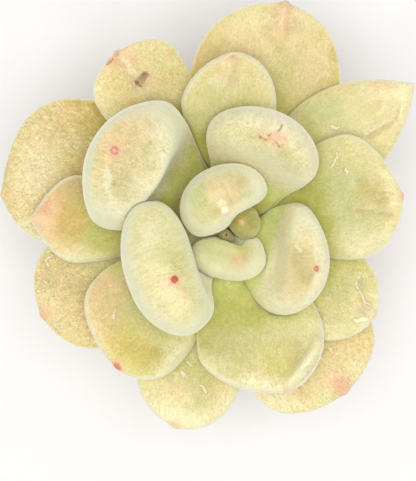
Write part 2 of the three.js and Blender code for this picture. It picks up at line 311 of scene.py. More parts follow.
palette = {
    # The palest tone is the wax bloom and is also laid as painted light: glints, highlights, rims and light
    # on steep walls.
    "frostAndPaintedLight": paint(246, 243, 214),
    "ivory": paint(245, 237, 198),
    "cream": paint(237, 228, 178),
    "butter": paint(226, 217, 160),
    "straw": paint(228, 211, 154),
    "sand": paint(217, 202, 146),
    "tan": paint(204, 182, 128),
    "peach": paint(238, 208, 162),
    "blush": paint(238, 184, 156),
    "coral": paint(218, 100, 76),
    "rose": paint(196, 84, 86),
    "mauve": paint(188, 156, 134),
    "amber": paint(214, 184, 104),
    "gold": paint(200, 180, 88),
    "lemon": paint(226, 214, 116),
    "pear": paint(214, 210, 148),
    "hazeAndPaintedLight": paint(232, 236, 208),
    # This pale haze tone is also laid as painted light on the sloping flanks.
    "mint": paint(214, 217, 170),
    "sage": paint(204, 206, 146),
    "lime": paint(200, 202, 114),
    # glow is a pale yellow-green laid at the roots deep among the inner leaves as painted light where shade
    # falls.
    "glow": paint(222, 231, 150),
    "leaf": paint(188, 188, 94),
    "moss": paint(164, 160, 80),
    "rust": paint(166, 92, 66),
    "brick": paint(190, 64, 38),
    "bark": paint(96, 56, 36),
}

plainPaint = {
    "top": [(0.3, "leaf"), (0.55, "sand"), (0.8, "straw")],
    "back": [(0.2, "lime"), (0.6, "butter"), (1, "peach")], "left": None, "right": None,
    "warm": "peach", "cool": "sage", "fleck": "cream", "shade": "tan",
    # The rim strength is for a pale margin, partly a painted highlight, and the one after it is for painted
    # light on the steep flanks.
    "speckle": 0.5, "rim": 0.4, "paintedFlankLight": 0.3, "tip": ("blush", 0.8, 0.4), "marks": [], "curls": [],
}

# Tones run along each leaf as (share of its length, tone). A mark is (tone, line in mm, radius, strength),
# a tip is (tone, radius, strength) and the strength of a paler middle where it has one, and a curl is a line
# of wax wrinkle with a painted highlight on it and painted shade around it. Some marks and root tones are
# painted highlights, painted shade or painted light, as noted at each leaf.
leafPaint = {
    1: {"top": [(0, "moss")], "back": [(0, "moss")], "warm": "gold", "cool": "moss", "rim": 0, "paintedFlankLight": 0.2,
        "tip": ("bark", 0.35, 0.9)},
    2: {"top": [(0, "moss")], "back": [(0.6, "leaf"), (1, "moss")], "warm": "leaf", "cool": "moss",
        "speckle": 0.3, "rim": 0.05, "paintedFlankLight": 0.2, "tip": ("peach", 0.6, 0.35)},
    # Leaf 3: the glow tone at the root is painted light where shade falls among the inner leaves.
    3: {"top": [(0.45, "glow"), (0.65, "mint"), (0.85, "sage")],
        "back": [(0.65, "mint"), (0.85, "ivory"), (1, "mint")], "speckle": 0.05, "rim": 0, "paintedFlankLight": 1,
        "tip": ("blush", 1.1, 0.4),
        "marks": [("leaf", [(1.5, -4, 74)], 2.4, 0.7),
          ("hazeAndPaintedLight", [(4.5, -5, 74.5), (4, -8, 73.5)], 1.6, 0.6)]},
    # Leaf 4: the palest tip is a painted glint, and the darker green marks on its left side are painted
    # shade.
    4: {"top": [(0.7, "cream")], "back": [(0.75, "leaf"), (0.92, "sage"), (1, "pear")], "right": "ivory",
        "speckle": 0.35, "rim": 0, "paintedFlankLight": 1, "tip": ("frostAndPaintedLight", 0.8, 0.8),
        "marks": [("peach", [(-3, 7.5, 81.5), (0, 8, 81.5)], 2.6, 0.55),
          ("leaf", [(-7, 3, 78), (-7, 8, 78)], 2.6, 0.35), ("leaf", [(-3, 3, 80)], 1.6, 0.2),
          ("ivory", [(-2, 4.5, 81.5), (-0.5, 3, 80.5)], 0.8, 0.8),
          ("tan", [(1, 9, 80.5), (2, 6.5, 80.5)], 1.5, 0.35)]},
    # Leaf 5: the glow at the root and the palest tone on both sides are painted light on its shaded flanks,
    # and the two short pale streaks after the moss mark are painted highlights.
    5: {"top": [(0.35, "glow"), (0.5, "ivory"), (0.75, "butter"), (0.95, "straw")],
        "back": [(0.5, "mint"), (0.7, "frostAndPaintedLight"), (0.9, "ivory")], "left": "frostAndPaintedLight", "right": "frostAndPaintedLight",
        "speckle": 0.35, "rim": 0, "paintedFlankLight": 0.35, "tip": ("rose", 0.55, 0.9, 0.6),
        "marks": [("moss", [(12.5, -5, 77), (13.5, -9, 77.5)], 1.9, 0.45),
          ("frostAndPaintedLight", [(12, -3, 77), (12.5, -4, 77.5)], 0.5, 0.6),
          ("ivory", [(10, -2, 75), (11, -0.5, 76)], 1.3, 0.6)]},
    # Leaf 6: the cream at the root is painted light where shade falls, the tiny palest spot beside the red
    # tip is a painted glint, and the last lime mark is painted shade along its side next to leaf 3.
    6: {"top": [(0.3, "cream"), (0.6, "mint"), (0.78, "lime"), (0.88, "sage"), (1, "butter")],
        "back": [(0.5, "mint"), (0.7, "ivory"), (0.9, "cream")], "right": "butter", "rim": 0, "paintedFlankLight": 1,
        "tip": ("brick", 0.8, 0.9),
        "marks": [("blush", [(-11, -10, 82.5), (-9, -11.5, 82)], 0.9, 0.4),
          ("tan", [(-13.7, -10, 82.5)], 0.5, 0.4), ("tan", [(-12.9, -10.2, 82.5)], 0.45, 0.3),
          ("frostAndPaintedLight", [(-10.3, -9.9, 82.3)], 0.35, 0.9), ("lime", [(-12, -4, 81), (-10, -7, 81)], 2.4, 0.5),
          ("hazeAndPaintedLight", [(-14, 0, 80.5), (-16, -4, 81)], 2.0, 0.5),
          ("lime", [(-8.4, -2, 79), (-6.8, -7.6, 79.5)], 1.6, 0.6)]},
    # Leaf 7: the glow at its neck is painted light, and the last ivory mark is a painted highlight.
    7: {"top": [(0.2, "leaf"), (0.45, "glow"), (0.6, "ivory"), (0.8, "butter")],
        "back": [(0.6, "cream"), (0.9, "ivory")], "left": "butter", "right": "cream", "speckle": 0.6,
        "rim": 0, "paintedFlankLight": 0.5, "tip": ("blush", 0.8, 0.5),
        "marks": [("blush", [(7, 16.5, 82), (9, 16, 82)], 1.6, 0.5),
          ("tan", [(3.5, 17.5, 81.5), (5.5, 17, 82)], 1.3, 0.35),
          ("rust", [(6.5, 17, 82), (8.5, 18, 81.5), (9.2, 19, 81)], 0.25, 0.7),
          ("rust", [(4.5, 17, 81.5), (6, 16.3, 82)], 0.22, 0.8),
          ("rust", [(7, 16.6, 82), (7.7, 15.8, 82), (9, 14.6, 82)], 0.25, 0.7),
          ("moss", [(9.5, 13.5, 81.5), (12, 11, 79.5)], 1.8, 0.3),
          ("ivory", [(0, 16, 79.5), (2.5, 14.5, 79)], 1.3, 0.6)]},
    # Leaf 8: the glow at the root is painted light; the broad ivory band along the lower-left edge, the ivory
    # and palest lines on the ridge and the ivory line round the curled tip are painted highlights; the mauve
    # line beside the ridge and the second gold mark, in the hollow left of it, are painted shade.
    8: {"top": [(0.2, "glow"), (0.5, "lime"), (0.7, "pear"), (0.85, "butter"), (1, "ivory")],
        "left": "cream", "warm": "butter", "cool": "lime", "speckle": 0.45, "rim": 0.5,
        "tip": ("blush", 1.0, 0.4),
        "marks": [("leaf", [(1, -15, 68), (5, -16, 69)], 3.5, 0.5), ("gold", [(9, -26, 74.5)], 2.6, 0.4),
          ("mauve", [(-3, -21.5, 70.5)], 4.0, 0.2), ("ivory", [(-6, -25, 71), (4, -32, 74)], 2.4, 0.5),
          ("lemon", [(7, -23, 73), (9.5, -26.5, 74.5)], 3.2, 0.5),
          ("gold", [(11, -22, 73), (12.5, -25, 74.5)], 2.0, 0.4),
          ("mauve", [(17.5, -23.5, 73), (15.5, -26, 74.5), (13.5, -28.5, 75)], 0.6, 0.5),
          ("ivory", [(17, -21, 71.5), (15, -23.5, 74.5), (12.5, -26.5, 75.5), (11.5, -28.5, 76)], 0.7, 0.8),
          ("frostAndPaintedLight", [(16, -22.5, 73.5), (14.5, -24.5, 75), (13, -26, 75.5)], 0.4, 0.9),
          ("ivory", [(11, -29.8, 76), (10, -30.5, 74.5), (8.5, -30.5, 74.5)], 0.8, 0.8),
          ("tan", [(9.5, -29, 75.5), (7, -29.3, 75)], 0.35, 0.6)],
        "curls": [[(3.4, -26, 74), (4.1, -26.1, 74)], [(12.5, -23, 73.5), (13.4, -23.1, 73.5)]]},
    # Leaf 9: the glow near the root is painted light, and the last mark, a pale streak, is a painted
    # highlight.
    9: {"top": [(0.28, "lime"), (0.42, "glow"), (0.55, "frostAndPaintedLight"), (0.72, "mint"), (0.88, "ivory"),
            (1, "sand")],
        "back": [(0.6, "ivory"), (0.85, "cream"), (1, "straw")], "speckle": 0.65, "rim": 0, "paintedFlankLight": 1,
        "tip": ("rose", 0.85, 0.65, 0.8),
        "marks": [("peach", [(-22, 18.5, 81.5), (-17, 22, 81)], 5.0, 0.5),
          ("moss", [(-9, 13, 69.5), (-10, 6.5, 67.5)], 5.0, 0.5),
          ("moss", [(-20.5, 7.5, 80.5), (-18, 5, 79.5)], 3.0, 0.3), ("blush", [(-22, 14, 82.5)], 1.4, 0.5),
          ("frostAndPaintedLight", [(-23, 10, 81.5), (-23, 6, 80)], 0.9, 0.6)]},
    # Leaf 10: the glow at the root is painted light, and the two thin tan lines along the folds are painted
    # shade in the creases.
    10: {"top": [(0.1, "glow"), (0.3, "lime"), (0.45, "leaf"), (0.65, "sage"), (0.8, "pear"),
            (0.92, "straw"), (1, "cream")],
        "left": "butter", "right": "ivory", "warm": "butter", "speckle": 0.4, "tip": ("blush", 0.8, 0.8),
        "marks": [("leaf", [(15.5, 4.5, 67.5), (17, -3, 67)], 3.0, 0.4),
          ("gold", [(25, 7.5, 71), (28, 6, 71.5)], 1.8, 0.5),
          ("tan", [(30.5, 6.5, 72), (25.5, 7, 71)], 0.4, 0.6),
          ("tan", [(29, 3, 71.5), (23.5, 3.5, 70)], 0.4, 0.6), ("frostAndPaintedLight", [(23, -1, 69.5)], 2.6, 0.3)],
        "curls": [[(20.5, 15.5, 70), (20, 13.5, 70), (19, 12, 69.5)],
          [(21.5, 11.5, 70.5), (22, 11, 70.5), (21.8, 10, 70.5)]]},
    # Leaf 11: the ivory and glow tones toward the root are painted light where the shade of leaf 6 falls.
    11: {"top": [(0.4, "ivory"), (0.5, "glow"), (0.7, "pear"), (0.9, "straw")], "left": "ivory",
        "right": "peach", "warm": "butter", "cool": "lime", "tip": ("coral", 1.0, 0.8),
        "marks": [("amber", [(-22, -19, 73), (-21.5, -24, 73.5)], 2.0, 0.5),
          ("lemon", [(-19.5, -22, 73), (-17, -24, 72.5)], 4.0, 0.7),
          ("gold", [(-19, -22.5, 73), (-15, -24, 71.5)], 2.2, 0.45),
          ("moss", [(-14.5, -23.5, 71.5)], 1.4, 0.3), ("moss", [(-16, -26, 73)], 1.3, 0.25)],
        "curls": [[(-22, -15, 71), (-22.4, -16, 71.5), (-22.5, -17, 72)]]},
    # Leaf 12: the small ivory spot is a painted highlight, and along the crease the moss line is painted
    # shade and the ivory line a painted highlight.
    12: {"top": [(0.3, "lime"), (0.5, "leaf"), (0.6, "sage"), (0.75, "pear"), (0.95, "straw")],
        "back": [(0.6, "lime"), (0.9, "sand"), (1, "tan")], "right": "cream", "speckle": 0.45,
        "tip": ("blush", 1.2, 0.3),
        "marks": [("peach", [(-2, 31, 75)], 2.6, 0.5), ("ivory", [(-3, 27.5, 74)], 1.5, 0.6),
          ("moss", [(0.3, 32.5, 75.5), (1.3, 31.5, 75.5), (0.8, 29.5, 75), (-0.2, 27, 73.5)], 0.55, 0.5),
          ("ivory", [(0, 31.3, 75.5), (-0.4, 29.5, 75), (-1.4, 27, 73.5)], 0.55, 0.5)]},
    13: {"top": [(0.55, "lime"), (0.78, "pear"), (0.92, "butter"), (1, "ivory")], "right": "ivory",
        "speckle": 0.55, "tip": ("blush", 1.0, 0.4),
        "marks": [("mauve", [(25.5, -15.5, 68)], 1.4, 0.5)],
        "curls": [[(24.5, -9, 66.5), (24, -11, 67), (25, -12.5, 67), (25.5, -14, 67.5), (26.5, -14.5, 67.5)],
          [(16.5, -15, 65.5), (18.5, -18, 66.5)], [(23.5, -17.3, 68), (24.8, -17.7, 68), (26, -17, 68)],
          [(23.8, -17.7, 68), (25.9, -17.4, 68)], [(23.9, -17.4, 68), (25.8, -17.1, 68)]]},
    14: {"top": [(0.68, "lime"), (0.82, "amber"), (0.95, "peach")], "left": "ivory",
        "right": "sand", "warm": "straw", "speckle": 0.4, "tip": ("peach", 2.0, 0.5),
        "marks": [("blush", [(-37, 3, 69), (-33, 6, 68.5)], 1.8, 0.35),
          ("coral", [(-35.5, 3.5, 69), (-36, 5, 69)], 1.2, 0.35), ("amber", [(-29.5, 0.5, 67)], 2.6, 0.5),
          ("leaf", [(-25, -2, 65.5)], 3.0, 0.7), ("mauve", [(-30, 8, 67)], 2.5, 0.35)]},
    # Leaf 15: along the fold the tan line is painted shade and the ivory line a painted highlight.
    15: {"top": [(0.4, "butter"), (0.55, "sage"), (0.75, "butter"), (0.88, "cream"), (1, "ivory")],
        "cool": "cream", "fleck": "ivory", "speckle": 0.25, "tip": ("ivory", 1.0, 0.4),
        "marks": [("leaf", [(16, 19.5, 64)], 3.0, 0.4), ("blush", [(27, 28, 66.5), (31, 28, 67)], 1.2, 0.3),
          ("tan", [(32, 22.5, 66.5), (31.5, 21, 66.5), (29.5, 19.5, 65.5), (26.5, 18, 65)], 0.7, 0.6),
          ("ivory", [(31.5, 23.5, 66.5), (31.3, 22, 66), (29, 20.5, 65), (26, 18.8, 65)], 0.6, 0.7)],
        "curls": [[(24, 18.7, 65), (24.8, 18, 65), (25, 17, 65)],
          [(19.3, 20.1, 64.5), (20, 19.6, 64.5), (20.8, 19.6, 65)]]},
    16: {"top": [(0.55, "cream"), (0.7, "pear"), (0.85, "cream"), (1, "ivory")], "left": "ivory",
        "speckle": 0.6, "tip": ("blush", 1.2, 0.4),
        "marks": [("gold", [(-5, -32, 67.5)], 3.0, 0.3)],
        "curls": [[(-9.5, -27.5, 66.5), (-9, -28.5, 67), (-8.4, -28.9, 67)],
          [(-6, -30, 67), (-5.2, -30.5, 67), (-5, -31.5, 67.5)], [(-8.5, -25.7, 66), (-7.6, -26.4, 66)]]},
    # Leaf 17: the thin ivory line along the crease is a painted highlight.
    17: {"top": [(0.55, "leaf"), (0.7, "sand"), (0.9, "straw")], "left": "cream", "right": "butter",
        "speckle": 0.65, "tip": ("mauve", 1.0, 0.4),
        "marks": [("blush", [(-22.5, 32.5, 69.5), (-20, 32.5, 70)], 1.8, 0.6),
          ("ivory", [(-18.5, 29.5, 68.5), (-21, 32.5, 70)], 0.8, 0.7),
          ("mauve", [(-17.5, 28.5, 68)], 1.7, 0.5),
          ("rust", [(-16.5, 29.8, 68.5), (-17.2, 28.5, 68.5), (-18, 28, 68)], 0.8, 0.8),
          ("bark", [(-16.5, 29.8, 68.5), (-17.6, 29.3, 68.5), (-18.3, 28.2, 67.8), (-17.5, 27.5, 67.5)],
                  0.35, 0.55),
          ("rust", [(-24, 31.5, 70), (-23, 32.5, 69.5)], 0.5, 0.8)]},
    19: {"top": [(0.4, "ivory"), (0.6, "butter"), (0.75, "sand"), (0.95, "straw")], "left": "straw",
        "shade": "mauve", "speckle": 0.85, "tip": ("blush", 1.4, 0.5),
        "marks": [("tan", [(-36.5, -9.5, 64.5)], 3.0, 0.5), ("peach", [(-31.5, -17.5, 64.5)], 4.0, 0.3)],
        "curls": [[(-35, -5, 63.5), (-36, -6.1, 64), (-35.7, -7.1, 64)],
          [(-37.5, -12, 64.5), (-36.5, -11.8, 64.5)], [(-36.5, -10, 64.5), (-35.7, -10.6, 64.5)]]},
    20: {"top": [(0.45, "lime"), (0.65, "sand"), (0.85, "straw"), (1, "cream")], "cool": "gold",
        "speckle": 0.4, "tip": ("blush", 2.0, 0.4),
        "marks": [("leaf", [(10.5, 32.5, 62), (9, 27, 61)], 3.0, 0.45),
          ("mauve", [(12.5, 40, 63.5)], 1.2, 0.4), ("blush", [(10.5, 42, 63.5), (9.5, 38.5, 63)], 1.2, 0.6),
          ("amber", [(-5, 34, 61)], 4.0, 0.3)]},
    21: {"top": [(0.65, "sand"), (0.85, "straw"), (1, "cream")], "right": "ivory", "speckle": 0.9,
        "tip": ("blush", 1.6, 0.5),
        "marks": [("coral", [(21.5, -30.3, 61.5)], 1.6, 0.55), ("blush", [(21.5, -29.5, 61.5)], 2.4, 0.5),
          ("amber", [(14.5, -33, 61.5)], 1.6, 0.4)]},
    22: {"top": [(0.6, "gold"), (0.75, "sand"), (0.95, "straw")], "left": "ivory", "cool": "sand",
        "speckle": 1.05, "tip": ("blush", 1.0, 0.4),
        "marks": [("ivory", [(-39, 12, 59.5)], 5.0, 0.4), ("mauve", [(-38.5, 12, 59.5)], 1.5, 0.3),
          ("gold", [(-31, 12, 59)], 3.5, 0.4), ("amber", [(-33, 21.5, 59), (-31, 24, 58.5)], 2.5, 0.4),
          ("tan", [(-43.5, 15.5, 59.5), (-44.5, 9, 59.5)], 1.2, 0.4)],
        "curls": [[(-40, 13.4, 59.5), (-39, 13.8, 59.5)], [(-37.3, 10.6, 59.5), (-36.3, 10.2, 59.5)]]},
}


# Noises are (scale, detail, roughness, distortion) for places in millimetres.
leafNoise = {
    "patch": (0.09, 2.0, 0.5),
    "hue": (0.25, 2.0, 0.55, 0.5),
    "cloud": (0.33, 3.0, 0.6),
    "crinkle": (0.6, 2.0, 0.6, 2.2),
    "worm": (1.7, 2.5, 0.65, 1.5),
    "grain": (2.6, 2.0, 0.6),
}

# A mask is (start, full) and perhaps a strength. A gain is (least, growth with the leaf's speckle). A stray
# is how far a noise moves an edge. Edges are in millimetres, and those of marks and tips in their radii.
leafLook = {
    "lineStray": 1.2,
    "lineStrayNoise": (0.8, 2.0),
    "shareStray": 0.22,
    "sideStray": 0.5,
    "sideFrom": 0.3,
    "sideShare": (0.4, 0.7),
    "markStray": 0.6,
    "crispRadius": 1.1,
    "crispEdge": (1.2, 0.6),
    "softEdge": (1.5, 0.2),
    "patchMask": (0.5, 0.72, 0.3),
    "warmMask": (0.5, 0.7, 0.35),
    "coolMask": (0.48, 0.3, 0.35),
    "livelyMask": (0.3, 0.7, 0.9),
    "leastLively": 0.3,
    "fleckShare": (0.3, 0.75),
    "lightMask": (0.5, 0.62),
    "lightGain": (0.1, 0.4),
    "darkMask": (0.5, 0.38),
    "darkGain": (0.15, 0.3),
    "threadMask": (0.035, 0.006),
    "threadGain": (0.4, 0.25),
    "fibreNoise": (2.0, 2.0, 0.6, 1.0),
    "fibreAlong": 0.45,
    "fibreTop": 3,
    "fibreGain": (0.25, 0.35),
    "wormGain": (0.1, 0.4),
    "lightTint": (1, 1, 1.5),
    # From here to the rim edge, the masks lay painted light on steep flanks, walls and crevices, and a pale
    # rim that is partly the leaf's margin and partly a painted highlight.
    "steepStray": 0.2,
    "flankLightShare": (0.5, 0.75),
    "flankLightMask": (0.04, 0.3, 0.6),
    "wallLightMask": (0.35, 0.65, 0.85),
    "wallLightEnd": (1.0, 0.75),
    "creviceLightMask": (0.72, 1.0, 0.9),
    "rimStray": 0.4,
    "rimEdge": (0.6, 0.25),
    # The next four lay the curls: a painted highlight along each wax wrinkle and painted shade around it.
    "waxStray": 0.2,
    "waxEdge": (0.3, 0.12),
    "waxGlintStrength": 0.9,
    "waxShade": (0.7, 0.25, 0.35),
    "tipStray": 0.8,
    "tipEdge": (1.2, 0.6),
    "tipHalo": (2.4, 0.8),
    "haloStrength": 0.5,
    "tipMiddle": (0.7, 0.2),
    "relief": {"worm": 0.4, "grain": 0.25, "cloud": 0.6, "thread": 0.3, "waxGlint": 0.4},
    "reliefDepth": 0.3,
    "reliefStrength": 0.8,
}


def leafFields(skin, leaf):
    # The places, shares and noises that the stages of one leaf's finish use.
    place = skin.vector("SCALE", {0: skin.position(), "Scale": 1 / mm})
    fields = {key: skin.noise(place, *values) for key, values in leafNoise.items()}
    cloud = fields["cloud"]
    stray = leafLook["lineStray"]
    shift = skin.noise(place, *leafLook["lineStrayNoise"], out="Color")
    strayed = skin.vector("MULTIPLY_ADD", {0: shift, 1: (stray,) * 3, 2: place})
    fields["place"] = skin.vector("SUBTRACT", {0: strayed, 1: (stray / 2,) * 3})
    run, aside, top = (skin.attribute(name) for name in ("run", "aside", "top"))
    fields["top"] = top
    fields["share"] = run * (1 / leaf["length"]) + swing(cloud, leafLook["shareStray"])
    fields["side"] = aside * (2 / leaf["width"]) + swing(cloud, leafLook["sideStray"])
    fields["lively"] = skin.ramp(cloud, *leafLook["livelyMask"]) + leafLook["leastLively"]
    fields["flecks"] = fields["lively"] * skin.ramp(fields["share"], *leafLook["fleckShare"])
    crinkle = (fields["crinkle"] - 0.5).math("ABSOLUTE")
    fields["thread"] = skin.ramp(crinkle, *leafLook["threadMask"]) * fields["flecks"]
    strand = skin.node("ShaderNodeCombineXYZ", {}, {0: run * leafLook["fibreAlong"], 1: aside,
                       2: top * leafLook["fibreTop"]})
    fields["fibre"] = skin.noise(strand, *leafLook["fibreNoise"])
    return fields


def layTones(skin, coat, fields):
    skin.color = skin.tonesAlong(fields["share"], coat["top"])
    skin.lay(1 - fields["top"], skin.tonesAlong(fields["share"], coat["back"]))
    for tone, edge in ((coat["right"], 1.0), (coat["left"], -1.0)):
        if tone:
            toSide = skin.ramp(fields["side"], leafLook["sideFrom"] * edge, edge)
            skin.lay(toSide * skin.ramp(fields["share"], *leafLook["sideShare"]), palette[tone])


def layMarks(skin, coat, fields):
    for tone, line, radius, strength in coat["marks"]:
        reach = skin.distanceTo(fields["place"], line) * (1 / radius)
        reach = reach + swing(fields["cloud"], leafLook["markStray"])
        edge = leafLook["softEdge"] if radius > leafLook["crispRadius"] else leafLook["crispEdge"]
        skin.lay(skin.ramp(reach, *edge, strength), palette[tone])


def layMottling(skin, coat, fields):
    # Broad patches and hues first, then light and dark flecks, fibres and the pale threads.
    gains = {key: leafLook[key][0] + leafLook[key][1] * coat["speckle"] for key in leafLook if "Gain" in key}
    worm = fields["worm"]
    skin.lay(skin.ramp(fields["patch"], *leafLook["patchMask"]), palette["cream"])
    skin.lay(skin.ramp(fields["hue"], *leafLook["warmMask"]), palette[coat["warm"]])
    skin.lay(skin.ramp(fields["hue"], *leafLook["coolMask"]), palette[coat["cool"]])
    lights = skin.ramp(worm, *leafLook["lightMask"], gains["lightGain"])
    skin.lay(lights * fields["flecks"], palette[coat["fleck"]])
    darks = skin.ramp(worm, *leafLook["darkMask"], gains["darkGain"])
    skin.lay(darks * fields["lively"], palette[coat["shade"]])
    light = swing(worm, gains["wormGain"]) + swing(fields["fibre"], gains["fibreGain"])
    light = skin.vector("MULTIPLY_ADD", {0: light, 1: leafLook["lightTint"], 2: (1, 1, 1)})
    skin.color = skin.vector("MULTIPLY", {0: skin.color, 1: light})
    skin.lay(fields["thread"] * gains["threadGain"], palette["ivory"])


def layPaintedLightAndRim(skin, coat, fields):
    # Painted light: a pale haze on sloping stretches and a paler band on steep walls stand in for light on
    # the flanks, a yellow in the crevices is painted light where shade falls, and a pale rim is partly the
    # leaf's own margin and partly a painted highlight.
    steep = skin.attribute("steep") + swing(fields["cloud"], leafLook["steepStray"])
    paintedFlankLight = skin.ramp(fields["share"], *leafLook["flankLightShare"], coat["paintedFlankLight"])
    skin.lay(skin.ramp(steep, *leafLook["flankLightMask"]) * paintedFlankLight, palette["hazeAndPaintedLight"])
    wall = skin.ramp(steep, *leafLook["wallLightMask"]) * skin.ramp(steep, *leafLook["wallLightEnd"])
    skin.lay(wall * paintedFlankLight, palette["frostAndPaintedLight"])
    skin.lay(skin.ramp(steep, *leafLook["creviceLightMask"]), palette["lemon"])
    inward = skin.attribute("inward") + fields["grain"] * leafLook["rimStray"]
    skin.lay(skin.ramp(inward, *leafLook["rimEdge"], coat["rim"]), palette["frostAndPaintedLight"])


# A curl is a raised wax wrinkle with a painted highlight along it and painted shade around it.
def layWaxGlints(skin, coat, fields):
    reach = skin.distanceTo(fields["place"], *coat["curls"])
    fields["waxGlint"] = skin.ramp(reach + swing(fields["grain"], leafLook["waxStray"]), *leafLook["waxEdge"])
    skin.lay(skin.ramp(reach, *leafLook["waxShade"]), palette[coat["shade"]])
    skin.lay(fields["waxGlint"] * leafLook["waxGlintStrength"], palette["frostAndPaintedLight"])


def layTip(skin, coat, fields):
    tone, radius, strength, *middle = coat["tip"]
    reach = (skin.attribute("fromTip") + swing(fields["grain"], leafLook["tipStray"])) * (1 / radius)
    skin.lay(skin.ramp(reach, *leafLook["tipHalo"], strength * leafLook["haloStrength"]), palette["blush"])
    skin.lay(skin.ramp(reach, *leafLook["tipEdge"], strength), palette[tone])
    if middle:
        skin.lay(skin.ramp(reach, *leafLook["tipMiddle"], middle[0]), palette["blush"])


def makeLeafFinish(leaf, name):
    skin = Finish(name)
    coat = {**plainPaint, **leafPaint.get(leaf["order"] + 1, {})}
    fields = leafFields(skin, leaf)
    layTones(skin, coat, fields)
    layMarks(skin, coat, fields)
    layMottling(skin, coat, fields)
    layPaintedLightAndRim(skin, coat, fields)
    if coat["curls"]:
        layWaxGlints(skin, coat, fields)
    layTip(skin, coat, fields)
    return skin.surface(Roughness=0.44 + 0.16 * fields["worm"], Normal=skin.relief(fields, leafLook),
                        Subsurface_Weight=0.8, Subsurface_Radius=(1.0, 0.85, 0.5), Subsurface_Scale=0.0035,
                        Sheen_Weight=0.9, Sheen_Roughness=0.35, Sheen_Tint=rgb(1.0, 1.0, 0.95),
                        Specular_IOR_Level=0.4, Coat_Weight=0.12, Coat_Roughness=0.22)


def addPiece(name, mesh, replaced, material):
    piece = bpy.data.objects.new(name, mesh)
    bpy.context.scene.collection.objects.link(piece)
    mesh.materials.append(material)
    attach(piece, "root")
    if replaced:
        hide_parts(*replaced)
    return piece


def smoothMesh(name, points, faces):
    mesh = bpy.data.meshes.new(name)
    mesh.from_pydata([p * mm for p in points], [], faces)
    mesh.shade_smooth()
    mesh.update()
    return mesh


def setAttribute(mesh, name, values):
    layer = mesh.attributes.new(name, "FLOAT", "POINT")
    layer.data.foreach_set("value", values)


def leafMidline(leaf):
    turn = crown["firstTurn"] - crown["goldenAngle"] * leaf["order"] + leaf["lean"]
    root = crown["rootRadius"] + crown["rootStep"] * leaf["order"]
    heading = math.radians(turn)
    point = Vector((root * math.cos(heading), root * math.sin(heading),
                    crown["top"] - crown["spacing"] * leaf["order"]))
    steps = leafMesh["midlineSteps"]
    line = []
    for i in range(steps + 1):
        s = i / steps
        rise = math.radians(lerp(*leaf["rise"], s ** leaf["bend"]))
        heading = math.radians(turn + leaf["sweep"] * (s - 0.5))
        flat = math.cos(rise)
        along = Vector((flat * math.cos(heading), flat * math.sin(heading), math.sin(rise)))
        if i > 0:
            point = point + (along + line[-1][1]).normalized() * leaf["length"] / steps
        across = Vector((math.sin(heading), -math.cos(heading), 0))
        across.rotate(Matrix.Rotation(-math.radians(leaf["twist"] * s), 3, along))
        line.append((point.copy(), along, across, across.cross(along)))
    return line


def leafSection(leaf, line, s):
    steps = leafMesh["midlineSteps"]
    at = min(steps - 1, int(s * steps))
    point, _, across, up = (a.lerp(b, s * steps - at) for a, b in zip(line[at], line[at + 1]))
    pastWidest = clamp((s - leaf["widest"]) / (1 - leaf["widest"]))
    pastFattest = clamp((s - leaf["fattest"]) / (1 - leaf["fattest"]))
    pastNotch = clamp((s - leafMesh["notchFrom"]) / leafMesh["notchRun"])
    seat = smooth(s / leafMesh["seatLength"])
    widening = lerp(leaf["neck"], 1, quarterWave(s / leaf["widest"], leaf["flare"]))
    closing = (1 - pastWidest ** leaf["round"]) ** (0.5 + 0.5 * leaf["point"])
    inHead = quarterWave(s / leaf["fattest"], leaf["club"])
    thickening = lerp(leafMesh["rootThickness"], 1, inHead)
    thinning = math.sqrt(1 - pastFattest ** leaf["blunt"])
    return {
        "point": point, "across": across.normalized(), "up": up.normalized(),
        "halfWidth": leaf["width"] / 2 * widening * closing * lerp(leafMesh["seatWidth"], 1, seat),
        "thick": leaf["thick"] * thickening * thinning * lerp(leafMesh["seatThickness"], 1, seat),
        "cup": leaf["cup"] * lerp(leafMesh["rootCup"], 1, clamp(s / leaf["widest"])),
        "notch": leaf["notch"] * pastNotch * (1 - smooth(pastWidest)),
        "lobe": lerp(leaf["lobe"], 1, smooth(pastWidest)),
        "topShare": lerp(leafMesh["rootTopShare"], leaf["topShare"], inHead),
    }


def skinPoint(leaf, section, angle):
    sideways = math.cos(angle)
    upward = math.sin(angle)
    onTop = upward > 1e-9  # so that a margin point, whose sine is rounded, counts as below
    half = section["halfWidth"] * (1 + leaf["skew"] if sideways > 0 else 1 - leaf["skew"])
    crease = 0.0
    if onTop:
        crease = section["notch"] * math.sqrt(upward)
        crease *= math.exp(-((sideways - leaf["notchSide"]) / leaf["notchWidth"]) ** 2)
    share = section["topShare"] if onTop else section["topShare"] - 1
    bulge = abs(upward) ** section["lobe"] * share
    lean = -2 * section["cup"] * sideways
    outward = (section["up"] + section["across"] * lean).normalized()
    middle = section["point"] + section["across"] * half * sideways
    middle += section["up"] * section["cup"] * half * sideways ** 2
    return middle + outward * section["thick"] * (bulge - crease)


def ringStations(leaf):
    rings = leafMesh["rings"]
    lower = rings // 2
    stations = []
    for i in range(rings):
        if i < lower:
            stations.append(leaf["widest"] * i / lower)
        else:
            stations.append(lerp(leaf["widest"], 1, quarterWave((i - lower) / (rings - lower))))
    return stations


def leafFaces():
    # Rings from root to tip, closed by fans to the two points after them, the tip's and then the root's.
    rings, sides = leafMesh["rings"], leafMesh["sides"]
    last, tip, root = (rings - 1) * sides, rings * sides, rings * sides + 1
    faces = []
    for j in range(sides):
        k = (j + 1) % sides
        for ring in range(rings - 1):
            a, b = ring * sides, (ring + 1) * sides
            faces.append((a + j, b + j, b + k, a + k))
        faces.append((last + j, tip, last + k))
        faces.append((j, k, root))
    return faces


